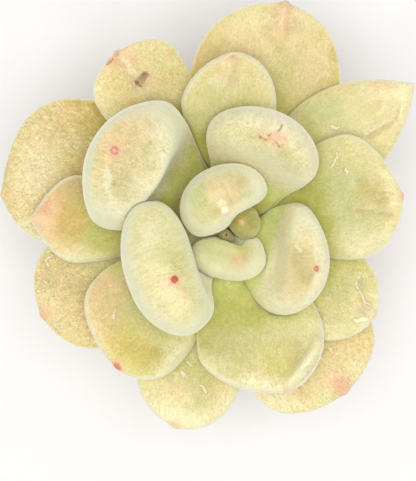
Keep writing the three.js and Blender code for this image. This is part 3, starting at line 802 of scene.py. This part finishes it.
def leafSkin(leaf):
    line = leafMidline(leaf)
    sides = leafMesh["sides"]
    points, runs, asides, inwards, tops = [], [], [], [], []
    for s in ringStations(leaf):
        section = leafSection(leaf, line, s)
        for j in range(sides):
            angle = 2 * math.pi * j / sides
            angle -= leafMesh["marginCrowding"] * math.sin(2 * angle) / 2
            points.append(skinPoint(leaf, section, angle))
            runs.append(s * leaf["length"])
            asides.append(section["halfWidth"] * math.cos(angle))
            inwards.append(section["halfWidth"] * (1 - abs(math.cos(angle))))
            tops.append(smooth(math.sin(angle) * leafMesh["marginBlend"] + 0.5))
    tipPoint, tipAlong = line[-1][0], line[-1][1]
    points += [tipPoint.copy(), line[0][0]]
    runs += [leaf["length"], 0.0]
    asides += [0.0, 0.0]
    inwards += [0.0, 0.0]
    tops += [0.5, 0.5]
    fromTips = [(p - tipPoint).length for p in points]
    for p, distance in zip(points, fromTips):
        p += tipAlong * leaf["mucro"] * math.exp(-(distance / leafMesh["mucroRadius"]) ** 2)
    fields = {"run": runs, "aside": asides, "inward": inwards, "top": tops, "fromTip": fromTips}
    return points, leafFaces(), fields


def foldReach(x, y, line):
    nearest = math.inf
    for (ax, ay), (bx, by) in zip(line, line[1:]):
        along = clamp(((x - ax) * (bx - ax) + (y - ay) * (by - ay)) / ((bx - ax) ** 2 + (by - ay) ** 2))
        nearest = min(nearest, math.hypot(x - lerp(ax, bx, along), y - lerp(ay, by, along)))
    return nearest


def waveSkin(leaf, points, faces, fields):
    mesh = smoothMesh("wave", points, faces)
    normals = [v.normal.copy() for v in mesh.vertices]
    bpy.data.meshes.remove(mesh)
    shift = Vector(leafMesh["noiseStep"]) * leaf["order"]
    for i, (p, normal) in enumerate(zip(points, normals)):
        height = noise.noise(p / leafMesh["waveSize"] + shift) * leaf["wave"]
        height += noise.noise(p / leafMesh["dimpleSize"] + shift) * leafMesh["dimpleHeight"]
        for line, depth, width in leaf["folds"]:
            reach = foldReach(fields["run"][i], fields["aside"][i], line) / width
            height -= depth * fields["top"][i] * math.exp(-reach * reach)
        p += normal * height


# Where a leaf would run into one above it, it is pressed back under that leaf, and each press but the last
# spreads a little.
def pressClear(points, uppers):
    sides, rings = leafMesh["sides"], leafMesh["rings"]
    up = Vector((0, 0, 1))
    pressed = [p.copy() for p in points]
    for turn in range(leafMesh["presses"]):
        for tree, low, high in uppers:
            for i, p in enumerate(pressed):
                if not (low[0] <= p.x <= high[0] and low[1] <= p.y <= high[1] and p.z >= low[2]):
                    continue
                under = tree.ray_cast(Vector((p.x, p.y, low[2] - 1)), up)[0]
                if under is not None and p.z > under.z - crown["contactGap"]:
                    if p.z < under.z + leafMesh["pressDepth"]:
                        p.z = under.z - crown["contactGap"]
                near, normal = tree.find_nearest(p, leafMesh["pressDepth"])[:2]
                if near is not None and (p - near).dot(normal) < crown["contactGap"]:
                    pressed[i] = near + normal * crown["contactGap"]
        if turn < leafMesh["presses"] - 1:
            moves = [a - b for a, b in zip(pressed, points)]
            for i in range(sides, (rings - 1) * sides):
                left = i - 1 if i % sides else i + sides - 1
                right = i + 1 if (i + 1) % sides else i - sides + 1
                around = (moves[left] + moves[right] + moves[i - sides] + moves[i + sides]) / 4
                pressed[i] = points[i] + moves[i].lerp(around, leafMesh["pressSpread"])
    for i, p in enumerate(pressed):
        points[i] = p


def shapeLeaves():
    shaped = []
    uppers = []
    for order, row in enumerate(leafRows):
        leaf = {**plainLeaf, **row, "order": order}
        points, faces, fields = leafSkin(leaf)
        waveSkin(leaf, points, faces, fields)
        whole = [p.copy() for p in points]  # what the leaves below are kept clear of
        pressClear(points, uppers)
        low = [min(p[k] for p in whole) for k in range(3)]
        high = [max(p[k] for p in whole) for k in range(3)]
        uppers.append((BVHTree.FromPolygons(whole, faces), low, high))
        shaped.append({**leaf, "points": points, "faces": faces, "fields": fields})
    return shaped


def makeLeaves():
    for leaf in shapeLeaves():
        order = leaf["order"]
        name = "leaf_%02d" % (order + 1)
        mesh = smoothMesh(name + "_skin", leaf["points"], leaf["faces"])
        for key, values in leaf["fields"].items():
            setAttribute(mesh, key, values)
        setAttribute(mesh, "steep", [1 - max(0.0, v.normal.z) for v in mesh.vertices])
        slot = next(slot for slot, count in leafSlots.items() if order < count)
        addPiece(name + "_skin", mesh, [name], makeLeafFinish(leaf, name + "_finish"))


makeLeaves()
print("leaves made:", len(leafRows))

# Pot values are millimetres.
pot = {
    "height": 48,
    "footRadius": 17.5,
    "rimRadius": 26,
    "bandHeight": 11,
    "bandStep": 1.6,
    "bandFillet": 0.15,
    "wall": 2.8,
    "floor": 3.2,
    "floorCorner": 1.6,
    "floorRings": (9, 1),
    "underRings": (1, 6, 12),
    "edge": 0.8,
    "lipOutside": 1.1,
    "lipInside": 1.0,
    "holeRadii": (2.85, 2.5),
    "holeOffset": 8.5,
    "holes": 3,
    "holeSides": 40,
    "segments": 160,
    "wobble": 0.12,
    "wobbleTurns": 1.3,
    "wobbleHeight": 24,
    "wobbleInset": 0.2,
    "lineSpacing": 1.15,
    "lineDepth": 0.035,
    "lineStray": 0.4,
    "lineStraySize": 15,
    "inset": 0.1,
    "plainFoot": (1.5, 2),
    "plainLip": (1.2, 1),
    "plainFloor": (15, 3),
    "sharpAngle": 40,
}

# Noises are (scale, detail, roughness, distortion), for places in metres; a mask is (start, full, strength).
clay = {
    "warm": rgb(0.50, 0.215, 0.11),
    "pale": rgb(0.60, 0.31, 0.18),
    "dark": rgb(0.30, 0.12, 0.065),
    "bloom": rgb(0.72, 0.60, 0.49),
    "sand": rgb(0.78, 0.62, 0.46),
    "cloudNoise": (38.0, 4.0, 0.6),
    "grainNoise": (1500.0, 3.0, 0.6),
    "saltNoise": (75.0, 5.0, 0.72, 0.4),
    "scuffNoise": (420.0, 3.0, 0.6),
    "sandScale": 700.0,
    "turning": {"Scale": 270.0, "Distortion": 1.5, "Detail": 2.0, "Detail Scale": 0.6},
    "paleMask": (0.35, 0.7),
    "scuffMask": (0.55, 0.75, 0.35),
    "dampMask": (0.34, 0.05, 0.45),
    "dampStray": 0.25,
    "saltMask": (0.52, 0.7, 0.5),
    "saltLow": 0.12,
    "bandFrom": (0.7, 0.8),
    "bandSaltMask": (0.5, 0.72, 0.55),
    "sandMask": (0.22, 0.05, 0.5),
    "sandPatches": (0.42, 0.6),
    "relief": {"rings": 0.25, "grain": 0.35, "scuff": 0.3, "sand": -0.6},
    "reliefDepth": 0.16,
    "reliefStrength": 0.8,
}


def potOuter(z):
    share = min(1, z / (pot["height"] - pot["bandHeight"]))
    return lerp(pot["footRadius"], pot["rimRadius"] - pot["bandStep"], share)


def potInner(z):
    return potOuter(z) - pot["wall"]


def arcPoints(center, radius, fromAngle, toAngle, count):
    points = []
    for i in range(count + 1):
        angle = math.radians(lerp(fromAngle, toAngle, i / count))
        points.append((center[0] + radius * math.cos(angle), center[1] + radius * math.sin(angle)))
    return points


def fadeIn(value, start, run):
    return smooth((value - start) / run)


def straight(first, last, count):
    return [(lerp(first[0], last[0], i / count), lerp(first[1], last[1], i / count)) for i in range(1, count)]


def potProfile():
    # From the middle of the underside, up the outside, over the lip and down to the middle of the floor.
    height, edge, rim, floor = pot["height"], pot["edge"], pot["rimRadius"], pot["floor"]
    lipOutside, lipInside, corner = pot["lipOutside"], pot["lipInside"], pot["floorCorner"]
    bandFoot, fillet = height - pot["bandHeight"], pot["bandFillet"]
    mouth, outside = potInner(height), potOuter(bandFoot)
    foot = arcPoints((pot["footRadius"] - edge, edge), edge, -90, 0, count=5)
    bandUnder = arcPoints((rim - edge, bandFoot + edge), edge, -90, 0, count=5)
    lipOut = arcPoints((rim - lipOutside, height - lipOutside), lipOutside, 0, 90, count=7)
    lipIn = arcPoints((mouth + lipInside, height - lipInside), lipInside, 90, 180, count=7)
    inFloor = arcPoints((potInner(floor) - corner, floor + corner), corner, 0, -90, count=6)
    profile = [(radius, 0) for radius in pot["underRings"]] + foot
    profile += straight(foot[-1], (outside, bandFoot), count=26)
    profile += [(outside, bandFoot - fillet), (outside + fillet, bandFoot)] + bandUnder
    profile += straight(bandUnder[-1], lipOut[0], count=10) + lipOut
    profile += straight(lipOut[-1], lipIn[0], count=2) + lipIn
    profile += straight(lipIn[-1], (mouth, bandFoot), count=4) + [(mouth, bandFoot)]
    profile += straight((mouth, bandFoot), inFloor[0], count=8) + inFloor
    return profile + [(radius, floor) for radius in pot["floorRings"]]


def latheFaces(rings, sides):
    faces = []
    for i in range(rings - 1):
        for j in range(sides):
            k = (j + 1) % sides
            faces.append((i * sides + j, i * sides + k, (i + 1) * sides + k, (i + 1) * sides + j))
    faces.append(tuple(reversed(range(sides))))
    faces.append(tuple((rings - 1) * sides + j for j in range(sides)))
    return faces


def ringHeadings(sides):
    turns = [2 * math.pi * j / sides for j in range(sides)]
    return [Vector((math.cos(turn), math.sin(turn), 0)) for turn in turns]


def makeClayFinish():
    finish = Finish("firedClay", clay["warm"])
    place = finish.position()
    fields = {key: finish.noise(place, *clay[key + "Noise"]) for key in ("cloud", "grain", "salt", "scuff")}
    salt = fields["salt"]
    share = finish.heightOf(place) * (1 / (pot["height"] * mm))
    waves = {"wave_type": "BANDS", "bands_direction": "Z", "wave_profile": "SIN"}
    fields["rings"] = finish.node("ShaderNodeTexWave", waves, {"Vector": place, **clay["turning"]}, out="Fac")
    finish.lay(finish.ramp(fields["cloud"], *clay["paleMask"]), clay["pale"])
    finish.lay(finish.ramp(fields["scuff"], *clay["scuffMask"]), clay["dark"])
    finish.lay(finish.ramp(share + fields["cloud"] * clay["dampStray"], *clay["dampMask"]), clay["dark"])
    bloomLow = finish.ramp(salt + (1 - share) * clay["saltLow"], *clay["saltMask"])
    bloomBand = finish.ramp(share, *clay["bandFrom"]) * finish.ramp(salt, *clay["bandSaltMask"])
    finish.lay(bloomLow.atLeast(bloomBand), clay["bloom"])
    sand = finish.ramp(finish.cells(place, clay["sandScale"]), *clay["sandMask"])
    fields["sand"] = sand * finish.ramp(fields["grain"], *clay["sandPatches"])
    finish.lay(fields["sand"], clay["sand"])
    return finish.surface(Roughness=0.8 + 0.12 * salt, Normal=finish.relief(fields, clay),
                          Specular_IOR_Level=0.3)


def makePot():
    profile = potProfile()
    points = []
    for radius, z in profile:
        for heading in ringHeadings(pot["segments"]):
            spot = heading * radius + Vector((0, 0, z))
            around = heading * pot["wobbleTurns"] + Vector((0, 0, z / pot["wobbleHeight"]))
            wobble = noise.noise(around) * pot["wobble"]
            stray = pot["lineStray"] * noise.noise(spot / pot["lineStraySize"])
            line = math.sin(2 * math.pi * (z / pot["lineSpacing"] + stray))
            swell = wobble - abs(wobble) * pot["wobbleInset"] - pot["inset"] + line * pot["lineDepth"]
            swell *= fadeIn(z, *pot["plainFoot"]) * fadeIn(pot["height"] - z, *pot["plainLip"])
            points.append(spot + heading * swell * fadeIn(radius, *pot["plainFloor"]))
    mesh = smoothMesh("clay_pot", points, latheFaces(len(profile), pot["segments"]))
    cutters = []
    for heading in ringHeadings(pot["holes"]):
        tool = bmesh.new()
        low, high = pot["holeRadii"]
        bmesh.ops.create_cone(tool, cap_ends=True, segments=pot["holeSides"], radius1=low * mm,
                              radius2=high * mm, depth=3 * pot["floor"] * mm)
        shift = heading * pot["holeOffset"] + Vector((0, 0, pot["floor"] / 2))
        bmesh.ops.translate(tool, verts=tool.verts, vec=shift * mm)
        cutterMesh = bpy.data.meshes.new("hole")
        tool.to_mesh(cutterMesh)
        tool.free()
        cutters.append(bpy.data.objects.new("hole", cutterMesh))
    piece = addPiece("clay_pot", mesh, ["pot"], makeClayFinish())
    applyBooleans(piece, cutters)
    piece.data.shade_smooth()
    piece.data.set_sharp_from_angle(angle=math.radians(pot["sharpAngle"]))


def applyBooleans(piece, cutters):
    for cutter in cutters:
        bpy.context.scene.collection.objects.link(cutter)
        cut = piece.modifiers.new("hole", "BOOLEAN")
        cut.operation = "DIFFERENCE"
        cut.solver = "EXACT"
        cut.object = cutter
    depsgraph = bpy.context.evaluated_depsgraph_get()
    finished = bpy.data.meshes.new_from_object(piece.evaluated_get(depsgraph))
    piece.modifiers.clear()
    piece.data = finished
    for cutter in cutters:
        bpy.data.objects.remove(cutter)


makePot()
print("pot made")

# Soil, grit and stem values are millimetres.
soil = {
    "level": 43,
    "gap": 0.12,
    "footGap": 0.3,
    "footInset": 2.2,
    "footCorner": 2,
    "well": 8,
    "innermost": 0.6,
    "rings": 44,
    "segments": 150,
    "lump": 0.45,
    "lumpSize": 4.2,
    "crumb": 0.22,
    "crumbSize": 1.1,
    "grainSize": 0.55,
    "noiseHeight": 3.0,
}

grit = {
    "stones": 520,
    "size": (0.55, 1.5),
    "sizeBias": 1.8,
    "fineAbove": 1.0,
    "stretch": ((0.8, 1.25), (0.7, 1.1), (0.55, 0.85)),
    "chipStretch": ((1.2, 1.7), (0.5, 0.8), (0.3, 0.45)),
    "lumps": ((0.3, 0.9), (0.13, 2.3)),
    "noiseShift": 50,
    "tilt": 0.4,
    "reach": 1.35,
    "packing": 0.86,
    "lift": 0.22,
    "kinds": {"lava": 0.45, "slate": 0.65, "bark": 0.81},
    "seed": 11,
    "mostTries": 30000,
}

stem = {
    "radiusAtSoil": 4.4,
    "overRoots": 0.5,
    "soilOverlap": 0.1,
    "soilTaper": 0.15,
    "top": 65.5,
    "dome": 0.4,
    "domeRings": (0.75, 0.45, 0.15),
    "bottom": 34,
    "bottomRadius": 3.0,
    "bottomTaper": 6,
    "barkTop": 53,
    "greenTop": 62,
    "rough": 0.16,
    "roughTurns": 3,
    "roughRise": 0.9,
    "segments": 72,
    "rings": 110,
    "scars": 26,
    "firstScar": 0.5,
    "scarSpacing": 0.42,
    "scarDepth": 0.28,
    "scarRadius": 4.2,
    "scarWidth": 1.805,
    "scarRise": 0.62,
    "scarArch": 0.25,
}

soilLook = {
    "peat": rgb(0.055, 0.034, 0.022),
    "loam": rgb(0.13, 0.082, 0.052),
    "crumb": rgb(0.23, 0.16, 0.10),
    "clodNoise": (260.0, 5.0, 0.7),
    "fineNoise": (1700.0, 3.0, 0.6),
    "crumbScale": 900.0,
    "loamMask": (0.35, 0.65),
    "crumbEdge": (0.3, 0.08),
    "crumbPatches": (0.45, 0.6),
    "relief": {"clod": 1, "fine": 0.6, "crumb": -0.4},
    "reliefDepth": 0.4,
    "reliefStrength": 0.9,
}

gritLook = {
    "pumice": rgb(0.66, 0.61, 0.52),
    "lava": rgb(0.16, 0.065, 0.045),
    "slate": rgb(0.20, 0.19, 0.18),
    "bark": rgb(0.21, 0.115, 0.06),
    "kindBlur": 0.01,
    "poreScale": 2600.0,
    "stainNoise": (700.0, 3.0, 0.6),
    "fineNoise": (2600.0, 3.0, 0.6),
    "stainMask": (0.5, 0.75, 0.5),
    "poreMask": (0.32, 0.1, 0.5),
    "relief": {"pore": 0.8, "fine": 0.5},
    "reliefDepth": 0.3,
    "reliefStrength": 0.9,
}


def soilHeight(x, y):
    spot = Vector((x, y, soil["noiseHeight"]))
    lump = noise.noise(spot / soil["lumpSize"]) * soil["lump"]
    crumb = noise.noise(spot / soil["crumbSize"]) + abs(noise.noise(spot / soil["grainSize"]))
    return soil["level"] + lump + crumb * soil["crumb"]


def makeSoilFinish():
    finish = Finish("pottingSoil", soilLook["peat"])
    place = finish.position()
    clod = finish.noise(place, *soilLook["clodNoise"])
    fine = finish.noise(place, *soilLook["fineNoise"])
    crumb = finish.cells(place, soilLook["crumbScale"])
    finish.lay(finish.ramp(clod, *soilLook["loamMask"]), soilLook["loam"])
    crumbs = finish.ramp(crumb, *soilLook["crumbEdge"]) * finish.ramp(fine, *soilLook["crumbPatches"])
    finish.lay(crumbs, soilLook["crumb"])
    normal = finish.relief({"clod": clod, "fine": fine, "crumb": crumb}, soilLook)
    return finish.surface(Roughness=0.93, Normal=normal, Specular_IOR_Level=0.2)


def makeGritFinish():
    finish = Finish("grit", gritLook["pumice"])
    place = finish.position()
    kind, blur = finish.attribute("kind"), gritLook["kindBlur"]
    pore = finish.cells(place, gritLook["poreScale"])
    stain = finish.noise(place, *gritLook["stainNoise"])
    fine = finish.noise(place, *gritLook["fineNoise"])
    for tone, start in grit["kinds"].items():
        finish.lay(finish.ramp(kind, start - blur, start + blur), gritLook[tone])
    finish.lay(finish.ramp(stain, *gritLook["stainMask"]), soilLook["loam"])
    finish.lay(finish.ramp(pore, *gritLook["poreMask"]), soilLook["peat"])
    normal = finish.relief({"pore": pore, "fine": fine}, gritLook)
    return finish.surface(Roughness=0.88, Normal=normal, Specular_IOR_Level=0.25)


def makeSoil():
    level, footGap, floor = soil["level"], soil["footGap"], pot["floor"]
    foot, corner, bandFoot = floor + footGap, floor + soil["footCorner"], pot["height"] - pot["bandHeight"]
    hole = stem["radiusAtSoil"] - stem["soilOverlap"]
    outer = potInner(level) - soil["gap"]
    profile = [(soil["innermost"], foot), (potInner(floor) - soil["footInset"], foot)]
    profile += [(potInner(z) - footGap, z) for z in (corner, bandFoot)]
    top = len(profile)
    profile += [(lerp(outer, hole, i / soil["rings"]), level) for i in range(soil["rings"] + 1)]
    well = len(profile)
    profile += [(hole, level - soil["well"]), (soil["innermost"], level - soil["well"])]
    points = []
    for i, (radius, z) in enumerate(profile):
        for heading in ringHeadings(soil["segments"]):
            x, y = heading.x * radius, heading.y * radius
            points.append(Vector((x, y, soilHeight(x, y) if top <= i < well else z)))
    mesh = smoothMesh("soil_bed", points, latheFaces(len(profile), soil["segments"]))
    addPiece("soil_bed", mesh, ["soil"], makeSoilFinish())


def makeStone(dice, size, kind):
    stone = bmesh.new()
    bmesh.ops.create_icosphere(stone, subdivisions=3 if size > grit["fineAbove"] else 2, radius=1.0)
    stretch = [dice.uniform(*span) for span in grit["stretch"]]
    if kind > grit["kinds"]["bark"]:
        stretch = [dice.uniform(*span) for span in grit["chipStretch"]]
    shift = Vector([dice.uniform(-grit["noiseShift"], grit["noiseShift"]) for _ in range(3)])
    for v in stone.verts:
        lump = 1 + sum(height * noise.noise(v.co * scale + shift) for height, scale in grit["lumps"])
        v.co = Vector([v.co[k] * stretch[k] * size * lump for k in range(3)])
    spin = Matrix.Rotation(dice.uniform(0, 2 * math.pi), 3, "Z")
    tilt = Matrix.Rotation(dice.uniform(-grit["tilt"], grit["tilt"]), 3, "X")
    bmesh.ops.rotate(stone, verts=stone.verts, cent=(0, 0, 0), matrix=spin @ tilt)
    return stone


def makeGrit():
    dice = random.Random(grit["seed"])
    points, faces, kinds, placed = [], [], [], []
    outer = potInner(soil["level"]) - soil["gap"]
    tries = 0
    while len(placed) < grit["stones"] and tries < grit["mostTries"]:
        tries += 1
        size = lerp(*grit["size"], dice.random() ** grit["sizeBias"])
        reach = size * grit["reach"]
        distance = lerp(stem["radiusAtSoil"] + reach, outer - reach, math.sqrt(dice.random()))
        angle = dice.uniform(0, 2 * math.pi)
        x, y = distance * math.cos(angle), distance * math.sin(angle)
        if any(math.hypot(x - a, y - b) < (size + c) * grit["packing"] for a, b, c in placed):
            continue
        placed.append((x, y, size))
        kind = dice.random()
        stone = makeStone(dice, size, kind)
        seat = Vector((x, y, soilHeight(x, y) + size * grit["lift"]))
        first = len(points)
        points += [v.co + seat for v in stone.verts]
        faces += [tuple(first + v.index for v in f.verts) for f in stone.faces]
        kinds += [kind] * len(stone.verts)
        stone.free()
    mesh = smoothMesh("soil_grit", points, faces)
    setAttribute(mesh, "kind", kinds)
    addPiece("soil_grit", mesh, [], makeGritFinish())
    return len(placed)


makeSoil()
print("soil made, stones:", makeGrit())

stemLook = {
    "bark": rgb(0.27, 0.20, 0.115),
    "cork": rgb(0.44, 0.35, 0.22),
    "green": rgb(0.25, 0.25, 0.06),
    "scar": rgb(0.36, 0.27, 0.15),
    "crack": rgb(0.09, 0.06, 0.035),
    "cloudNoise": (160.0, 4.0, 0.6),
    "fineNoise": (1400.0, 4.0, 0.65),
    "corkMask": (0.35, 0.68),
    "scarStrength": 0.8,
    "crackMask": (0.56, 0.72, 0.6),
    "greenStray": 4,
    "relief": {"fine": 0.6, "cloud": 0.5},
    "reliefDepth": 0.3,
    "reliefStrength": 0.8,
}


def makeStemFinish():
    finish = Finish("stemBark", stemLook["bark"])
    place = finish.position()
    cloud = finish.noise(place, *stemLook["cloudNoise"])
    fine = finish.noise(place, *stemLook["fineNoise"])
    finish.lay(finish.ramp(cloud, *stemLook["corkMask"]), stemLook["cork"])
    finish.lay(finish.attribute("scar") * stemLook["scarStrength"], stemLook["scar"])
    finish.lay(finish.ramp(fine, *stemLook["crackMask"]), stemLook["crack"])
    greenFrom = finish.heightOf(place) + cloud * (stemLook["greenStray"] * mm)
    finish.lay(finish.ramp(greenFrom, stem["barkTop"] * mm, stem["greenTop"] * mm), stemLook["green"])
    normal = finish.relief({"fine": fine, "cloud": cloud}, stemLook)
    return finish.surface(Roughness=0.78, Normal=normal, Specular_IOR_Level=0.3)


def stemRadius(z):
    crownFoot = crown["top"] - crown["spacing"] * len(leafRows)
    steps = min(len(leafRows), (crown["top"] - z) / crown["spacing"])
    radius = crown["rootRadius"] + crown["rootStep"] * steps + stem["overRoots"]
    down = clamp((crownFoot - z) / (crownFoot - soil["level"]))
    return lerp(radius, stem["radiusAtSoil"] - stem["soilTaper"], down)


# Old leaves left a crescent scar each, on the same spiral as the leaves.
def scarAt(z, angle):
    deepest = 0.0
    for n in range(stem["scars"]):
        order = len(leafRows) + n
        height = crown["top"] - crown["spacing"] * len(leafRows) - stem["firstScar"] - n * stem["scarSpacing"]
        turn = math.radians(crown["firstTurn"] - crown["goldenAngle"] * order)
        aside = (angle - turn + math.pi) % (2 * math.pi) - math.pi
        across = aside * stem["scarRadius"] / stem["scarWidth"]
        rise = (z - height + across * across * stem["scarArch"]) / stem["scarRise"]
        deepest = max(deepest, 1 - smooth(across * across + rise * rise))
    return deepest


def makeStem():
    sides = stem["segments"]
    points, scars = [], []
    for i in range(stem["rings"]):
        z = lerp(stem["bottom"], stem["top"], i / (stem["rings"] - 1))
        radius = stemRadius(z)
        if z < soil["level"] - 1:
            radius = lerp(stem["bottomRadius"], radius, smooth((z - stem["bottom"]) / stem["bottomTaper"]))
        for j, heading in enumerate(ringHeadings(sides)):
            reach, scar = radius, 0.0
            if z < stem["barkTop"]:
                scar = scarAt(z, 2 * math.pi * j / sides)
                around = heading * stem["roughTurns"] + Vector((0, 0, z * stem["roughRise"]))
                reach += noise.noise(around) * stem["rough"] - scar * stem["scarDepth"]
            points.append(heading * reach + Vector((0, 0, z)))
            scars.append(scar)
    crownRadius = stemRadius(stem["top"])
    for share in stem["domeRings"]:
        middle = Vector((0, 0, stem["top"] + stem["dome"] * (1 - share * share)))
        points += [heading * crownRadius * share + middle for heading in ringHeadings(sides)]
        scars += [0.0] * sides
    mesh = smoothMesh("stem_bark", points, latheFaces(stem["rings"] + len(stem["domeRings"]), sides))
    setAttribute(mesh, "scar", scars)
    addPiece("stem_bark", mesh, ["stem"], makeStemFinish())


makeStem()
print("stem made")

studio = {
    "background": 0.48,
    "keyPlace": (0.0, -0.06, 0.88),
    "keyAim": (0, 0, 0.06),
    "keySize": 0.4,
    "keyPower": 4.6,
    "floorTone": 0.97,
    "floorHalf": 3.0,
}

# The photograph is seen as a plane at the leaves' height, and the origin lies under the growing point.
photo = {
    "width": 416,
    "height": 481,
    "mmPerPixel": 0.19,
    "distance": 300.0,
    "planeHeight": 71.0,
    "crownPixel": (232, 229),
    "sensorHeight": 36,
    "clipStart": 0.01,
}


def aimAt(item, target):
    item.rotation_euler = (Vector(target) - item.location).to_track_quat("-Z", "Y").to_euler()


def makeStudio():
    world = bpy.data.worlds.new("studio")
    world.use_nodes = True
    sky = world.node_tree.nodes["Background"]
    sky.inputs["Color"].default_value = rgb(1, 1, 1)
    sky.inputs["Strength"].default_value = studio["background"]
    bpy.context.scene.world = world
    lamp = bpy.data.lights.new("key", "AREA")
    lamp.size = studio["keySize"]
    lamp.energy = studio["keyPower"]
    key = bpy.data.objects.new("key", lamp)
    key.location = studio["keyPlace"]
    bpy.context.scene.collection.objects.link(key)
    aimAt(key, studio["keyAim"])
    mesh = bpy.data.meshes.new("floor")
    half = studio["floorHalf"]
    corners = [(-half, -half, 0), (half, -half, 0), (half, half, 0), (-half, half, 0)]
    mesh.from_pydata(corners, [], [(0, 1, 2, 3)])
    mesh.materials.append(Finish("floorPaint", rgb(*[studio["floorTone"]] * 3)).surface(Roughness=0.8))
    floor = bpy.data.objects.new("floor", mesh)
    bpy.context.scene.collection.objects.link(floor)


def makeCamera():
    lens = bpy.data.cameras.new("camera")
    lens.sensor_fit = "VERTICAL"
    lens.sensor_height = photo["sensorHeight"]
    lens.lens = lens.sensor_height * photo["distance"] / (photo["height"] * photo["mmPerPixel"])
    lens.clip_start = photo["clipStart"]
    camera = bpy.data.objects.new("camera", lens)
    aimX = (photo["width"] / 2 - photo["crownPixel"][0]) * photo["mmPerPixel"]
    aimY = (photo["crownPixel"][1] - photo["height"] / 2) * photo["mmPerPixel"]
    camera.location = Vector((aimX, aimY, photo["planeHeight"] + photo["distance"])) * mm
    bpy.context.scene.collection.objects.link(camera)
    bpy.context.scene.camera = camera


makeStudio()
makeCamera()
bpy.context.scene.view_settings.view_transform = "Standard"
print("studio made")
